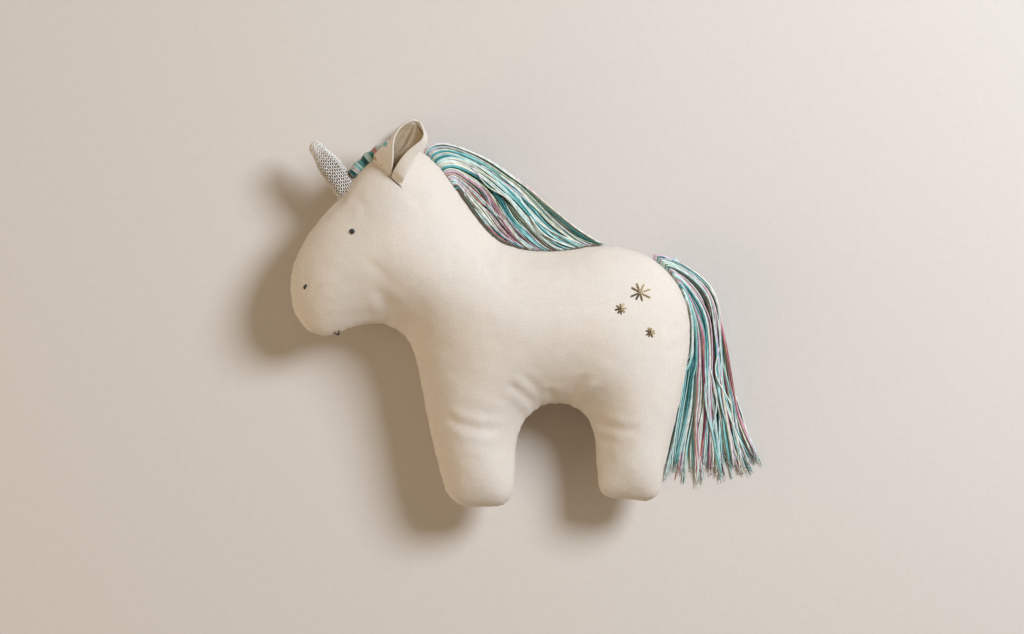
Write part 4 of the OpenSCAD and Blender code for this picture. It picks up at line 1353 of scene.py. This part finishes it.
def make_forelock(sizes):
    rng = random.Random(sizes.yarn_seed + 50)
    lo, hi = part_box("forelock")
    first, last = (hi.x, hi.y), (lo.x - 7 * MM, lo.y - 7 * MM)
    stitches, dyes = [], []
    count = sizes.forelock_strands
    for n in range(count):
        share = share_of((n + rng.uniform(-0.3, 0.3)) / (count - 1))
        spot, way = seam.place(first, last, share)
        out, along = np.array([*way, 0.0]), np.array([*turned(way), 0.0])
        centre = np.array([*spot, SEAM_Z]) - out * FORELOCK_SINK
        reach = FORELOCK_REACH * (1 + 0.06 * math.sin(share * 31) + rng.uniform(-0.05, 0.04))
        lean = rng.uniform(-0.6, 0.6) * MM
        line = []
        for a in np.linspace(FORELOCK_TOP, rng.uniform(-1.5, -1.15), FORELOCK_STEPS):
            r = reach - 2.4 * MM * smoothstep((a - 0.85) / 0.4)
            line.append(centre + out * r * math.cos(a) + UP * r * math.sin(a) + along * lean * a)
        stitches.append((line, [along] * FORELOCK_STEPS))
        if n % SHADE_STRANDS == 0:
            shade = picked_dye(rng)
        dyes.append(share_of(shade + rng.gauss(0, 0.06)))
    sewn("forelock_yarn", stitches, sizes.yarn_d / 2, "dyed yarn", dyes, "yarn", "forelock")


# ---------------------------------------------------------------- stage

SENSOR = 36
FLOOR_CELLS, FLOOR_REACH = 12, 3.0
FILL_SIZE = 1.6


def make_stage(sizes):
    scene = bpy.context.scene
    scene.view_settings.view_transform = "Standard"
    scene.view_settings.look = "None"
    camera = bpy.data.cameras.new("camera")
    camera.lens, camera.sensor_width = sizes.lens, SENSOR
    camera.clip_end = 20
    eye = add_object("camera", camera)
    middle = (cad_box[0] + cad_box[1]) / 2
    distance = sizes.view_width * sizes.lens / SENSOR
    eye.location = (middle.x + sizes.view_shift[0], middle.y + sizes.view_shift[1], SEAM_Z + distance)
    scene.camera = eye
    paper, tree, shader = finish_of("pale paper", 0.9)
    spot = place(tree, "ShaderNodeTexCoord").outputs["Object"]
    tone = shared(tree, "mottle", "Tone", Position=spot, Scale=140.0)
    tree.links.new(toned(tree, tuple(sizes.floor_colour), tone, 0.05), shader.inputs["Base Color"])
    bumped(tree, shader, tone, 0.0002)
    n, width = FLOOR_CELLS, 2 * FLOOR_REACH
    points = [((i / n - 0.5) * width, (j / n - 0.5) * width, 0) for j in range(n + 1) for i in range(n + 1)]
    faces = [[j * (n + 1) + i, j * (n + 1) + i + 1, (j + 1) * (n + 1) + i + 1, (j + 1) * (n + 1) + i]
             for j in range(n) for i in range(n)]
    from_lists("floor", points, faces, paper)
    for name, where, wide, watts, colour in (
            ("key light", sizes.key_place, sizes.key_size, sizes.key_watts, sizes.key_colour),
            ("fill light", sizes.fill_place, FILL_SIZE, sizes.fill_watts, sizes.fill_colour)):
        light = bpy.data.lights.new(name, "AREA")
        light.shape, light.size = "DISK", wide
        light.energy, light.color = watts, tuple(colour)
        lamp = add_object(name, light)
        lamp.location = tuple(where)
        lamp.rotation_euler = (-Vector(where)).to_track_quat("-Z", "Y").to_euler()
    world = scene.world or bpy.data.worlds.new("room")
    scene.world = world
    world.use_nodes = True
    back = world.node_tree.nodes["Background"]
    back.inputs["Color"].default_value = (*sizes.room_colour, 1)
    back.inputs["Strength"].default_value = sizes.room_light


# ---------------------------------------------------------------- settings

def length_setting(name, description, default):
    return FloatProperty(name=name, description=description, default=default, unit="LENGTH", precision=5)


def colour_setting(name, description, default):
    return FloatVectorProperty(name=name, description=description, default=default, subtype="COLOR",
                               size=3, min=0, max=1)


class ClothSizes(bpy.types.PropertyGroup):
    mesh_pitch: length_setting("Mesh pitch", "Edge length of the cloth before it is stuffed", 0.004)
    pressure: FloatProperty(name="Pressure", description="How hard the stuffing presses out", default=4.0)
    swell_cap: length_setting("Swell cap", "How far the stuffing may move the cloth", 0.0034)
    seam_depth: length_setting("Seam depth", "How deep the seam lies in the cloth", 0.0011)
    pucker_pitch: length_setting("Pucker pitch", "Distance between the puckers along the seam", 0.0085)
    weave_pitch: length_setting("Weave pitch", "Distance between the cotton's threads", 0.0006)
    embroidery_d: length_setting("Embroidery thread", "Diameter of the dark embroidery thread", 0.00075)
    gold_d: length_setting("Gold thread", "Diameter of the gold embroidery thread", 0.0008)
    star_seed: IntProperty(name="Star seed", description="Varies the rays of the stars", default=11)
    cotton_colour: colour_setting("Cotton", "Colour of the body's cotton", (0.755, 0.675, 0.585))
    lining_colour: colour_setting("Lining", "Colour of the linen ear lining", (0.50, 0.385, 0.255))
    thread_colour: colour_setting("Sewing thread", "Colour of the sewing thread", (0.78, 0.72, 0.62))
    face_colour: colour_setting("Face thread", "Colour of the eyes, nostrils and mouth", (0.045, 0.04, 0.045))
    gold_colour: colour_setting("Gold", "Colour of the stars' metal thread", (0.46, 0.30, 0.13))


class HornSizes(bpy.types.PropertyGroup):
    horn_foot_d: length_setting("Foot", "Diameter of the horn's lower half", 0.0195)
    horn_tip_d: length_setting("Tip", "Diameter of the horn just below its round tip", 0.0118)
    horn_yarn_d: length_setting("Yarn", "Diameter of the knitted yarn", 0.00078)
    wales: IntProperty(name="Wales", description="Stitches round the horn", default=18)
    courses: IntProperty(name="Courses", description="Rows of stitches up the horn", default=17)
    horn_stitches: IntProperty(name="Sewing stitches", description="Stitches that sew the horn on", default=26)
    horn_seed: IntProperty(name="Seed", description="Varies the flecks of the yarn", default=4)


class EarSizes(bpy.types.PropertyGroup):
    ear_columns: IntProperty(name="Columns", description="Points across the ear's cloth", default=37)
    ear_rows: IntProperty(name="Rows", description="Points up the ear's cloth", default=29)
    ear_cloth: length_setting("Cloth", "Thickness of the ear's outer cloth", 0.0009)
    ear_rim_d: length_setting("Rim", "Diameter of the rolled rim", 0.0019)


class YarnSizes(bpy.types.PropertyGroup):
    yarn_d: length_setting("Yarn", "Diameter of a strand", 0.00125)
    lay: length_setting("Lay", "Length of one turn of the plies", 0.0085)
    mane_strands: IntProperty(name="Mane strands", description="Strands in the mane", default=340)
    tail_strands: IntProperty(name="Tail strands", description="Strands in the tail", default=330)
    forelock_strands: IntProperty(name="Forelock strands", description="Strands over the crest", default=74)
    lock_strands: IntProperty(name="Strands in a lock", description="Strands that run together", default=5)
    stray_share: FloatProperty(name="Strays", description="Share of strands that wander", default=0.06,
                               subtype="FACTOR")
    pale_share: FloatProperty(name="Pale strands", description="Share of undyed strands", default=0.28,
                              subtype="FACTOR")
    yarn_seed: IntProperty(name="Seed", description="Varies the strands", default=21)
    knit_colour: colour_setting("Knit", "Main colour of the horn's yarn", (0.93, 0.86, 0.75))


class StageSizes(bpy.types.PropertyGroup):
    lens: FloatProperty(name="Lens", description="Focal length in millimetres", default=180.0)
    view_width: length_setting("View width", "Width that the camera sees at the seam", 0.870)
    view_shift: FloatVectorProperty(name="View shift", description="Camera's place from the middle of the model",
                                    default=(-0.0066, -0.0036, 0.0), subtype="TRANSLATION", size=3)
    floor_colour: colour_setting("Floor", "Colour of the floor", (0.69, 0.625, 0.555))
    key_place: FloatVectorProperty(name="Key light", description="Place of the key light",
                                   default=(1.25, 0.885, 1.58), subtype="TRANSLATION", size=3)
    key_size: length_setting("Key size", "Diameter of the key light", 0.87)
    key_watts: FloatProperty(name="Key power", description="Power of the key light", default=55.0, unit="POWER")
    key_colour: colour_setting("Key colour", "Colour of the key light", (0.78, 0.87, 1.0))
    fill_place: FloatVectorProperty(name="Fill light", description="Place of the fill light",
                                    default=(-1.9, -0.5, 0.9), subtype="TRANSLATION", size=3)
    fill_watts: FloatProperty(name="Fill power", description="Power of the fill light", default=13.0, unit="POWER")
    fill_colour: colour_setting("Fill colour", "Colour of the fill light", (1.0, 0.86, 0.68))
    room_colour: colour_setting("Room colour", "Colour of the light all round", (1.0, 0.80, 0.56))
    room_light: FloatProperty(name="Room light", description="Strength of the light all round", default=0.27)


# ---------------------------------------------------------------- operators

class UNICORN_OT_stage(bpy.types.Operator):
    """Lay the floor, set the lights and the camera"""

    bl_idname = "unicorn.stage"
    bl_label = "Stage"

    def execute(self, context):
        make_stage(context.scene.unicorn_stage)
        return {"FINISHED"}


class UNICORN_OT_body(bpy.types.Operator):
    """Stuff the cotton body, with its seam, folds and puckers"""

    bl_idname = "unicorn.body"
    bl_label = "Body"

    def execute(self, context):
        make_body(context.scene.unicorn_cloth)
        return {"FINISHED"}


class UNICORN_OT_face(bpy.types.Operator):
    """Embroider the eyes, nostrils and mouth, and close the body"""

    bl_idname = "unicorn.face"
    bl_label = "Face"

    def execute(self, context):
        make_face(context.scene.unicorn_cloth)
        return {"FINISHED"}


class UNICORN_OT_stars(bpy.types.Operator):
    """Embroider the three stars in gold thread"""

    bl_idname = "unicorn.stars"
    bl_label = "Stars"

    def execute(self, context):
        make_stars(context.scene.unicorn_cloth)
        return {"FINISHED"}


class UNICORN_OT_horn(bpy.types.Operator):
    """Knit the horn over its wadding and sew it on"""

    bl_idname = "unicorn.horn"
    bl_label = "Horn"

    def execute(self, context):
        make_horn(context.scene.unicorn_horn)
        return {"FINISHED"}


class UNICORN_OT_ears(bpy.types.Operator):
    """Roll the two lined ears and set them in their darts"""

    bl_idname = "unicorn.ears"
    bl_label = "Ears"

    def execute(self, context):
        make_ears(context.scene.unicorn_ears)
        return {"FINISHED"}


class UNICORN_OT_forelock(bpy.types.Operator):
    """Lay the forelock's yarn over the crest"""

    bl_idname = "unicorn.forelock"
    bl_label = "Forelock"

    def execute(self, context):
        make_forelock(context.scene.unicorn_yarn)
        return {"FINISHED"}


class UNICORN_OT_mane(bpy.types.Operator):
    """Hang the mane's yarn from the crest"""

    bl_idname = "unicorn.mane"
    bl_label = "Mane"

    def execute(self, context):
        sizes = context.scene.unicorn_yarn
        make_fringe(sizes, "mane", sizes.mane_strands, sizes.yarn_seed)
        return {"FINISHED"}


class UNICORN_OT_tail(bpy.types.Operator):
    """Hang the tail's yarn from the rump"""

    bl_idname = "unicorn.tail"
    bl_label = "Tail"

    def execute(self, context):
        sizes = context.scene.unicorn_yarn
        make_fringe(sizes, "tail", sizes.tail_strands, sizes.yarn_seed + 7)
        return {"FINISHED"}


OPERATORS = (UNICORN_OT_stage, UNICORN_OT_body, UNICORN_OT_face, UNICORN_OT_stars, UNICORN_OT_horn,
             UNICORN_OT_ears, UNICORN_OT_forelock, UNICORN_OT_mane, UNICORN_OT_tail)
SETTINGS = {"unicorn_cloth": ClothSizes, "unicorn_horn": HornSizes, "unicorn_ears": EarSizes,
            "unicorn_yarn": YarnSizes, "unicorn_stage": StageSizes}


class UNICORN_PT_panel(bpy.types.Panel):
    """The pieces in the order in which they are made"""

    bl_label = "Stuffed Unicorn"
    bl_idname = "UNICORN_PT_panel"
    bl_space_type = "VIEW_3D"
    bl_region_type = "UI"
    bl_category = "Stuffed Unicorn"

    def draw(self, context):
        for operator in OPERATORS:
            self.layout.operator(operator.bl_idname)
        for key, kind in SETTINGS.items():
            box = self.layout.box()
            for name in kind.__annotations__:
                box.prop(getattr(context.scene, key), name)


def register():
    for kind in SETTINGS.values():
        bpy.utils.register_class(kind)
    for operator in OPERATORS:
        bpy.utils.register_class(operator)
    bpy.utils.register_class(UNICORN_PT_panel)
    for key, kind in SETTINGS.items():
        setattr(bpy.types.Scene, key, PointerProperty(type=kind))


def unregister():
    for key in SETTINGS:
        delattr(bpy.types.Scene, key)
    bpy.utils.unregister_class(UNICORN_PT_panel)
    for operator in reversed(OPERATORS):
        bpy.utils.unregister_class(operator)
    for kind in reversed(list(SETTINGS.values())):
        bpy.utils.unregister_class(kind)


def main():
    register()
    bpy.ops.unicorn.stage()
    bpy.ops.unicorn.body()
    bpy.ops.unicorn.face()
    bpy.ops.unicorn.stars()
    bpy.ops.unicorn.horn()
    bpy.ops.unicorn.ears()
    bpy.ops.unicorn.forelock()
    bpy.ops.unicorn.mane()
    bpy.ops.unicorn.tail()


if __name__ == "__main__":
    main()
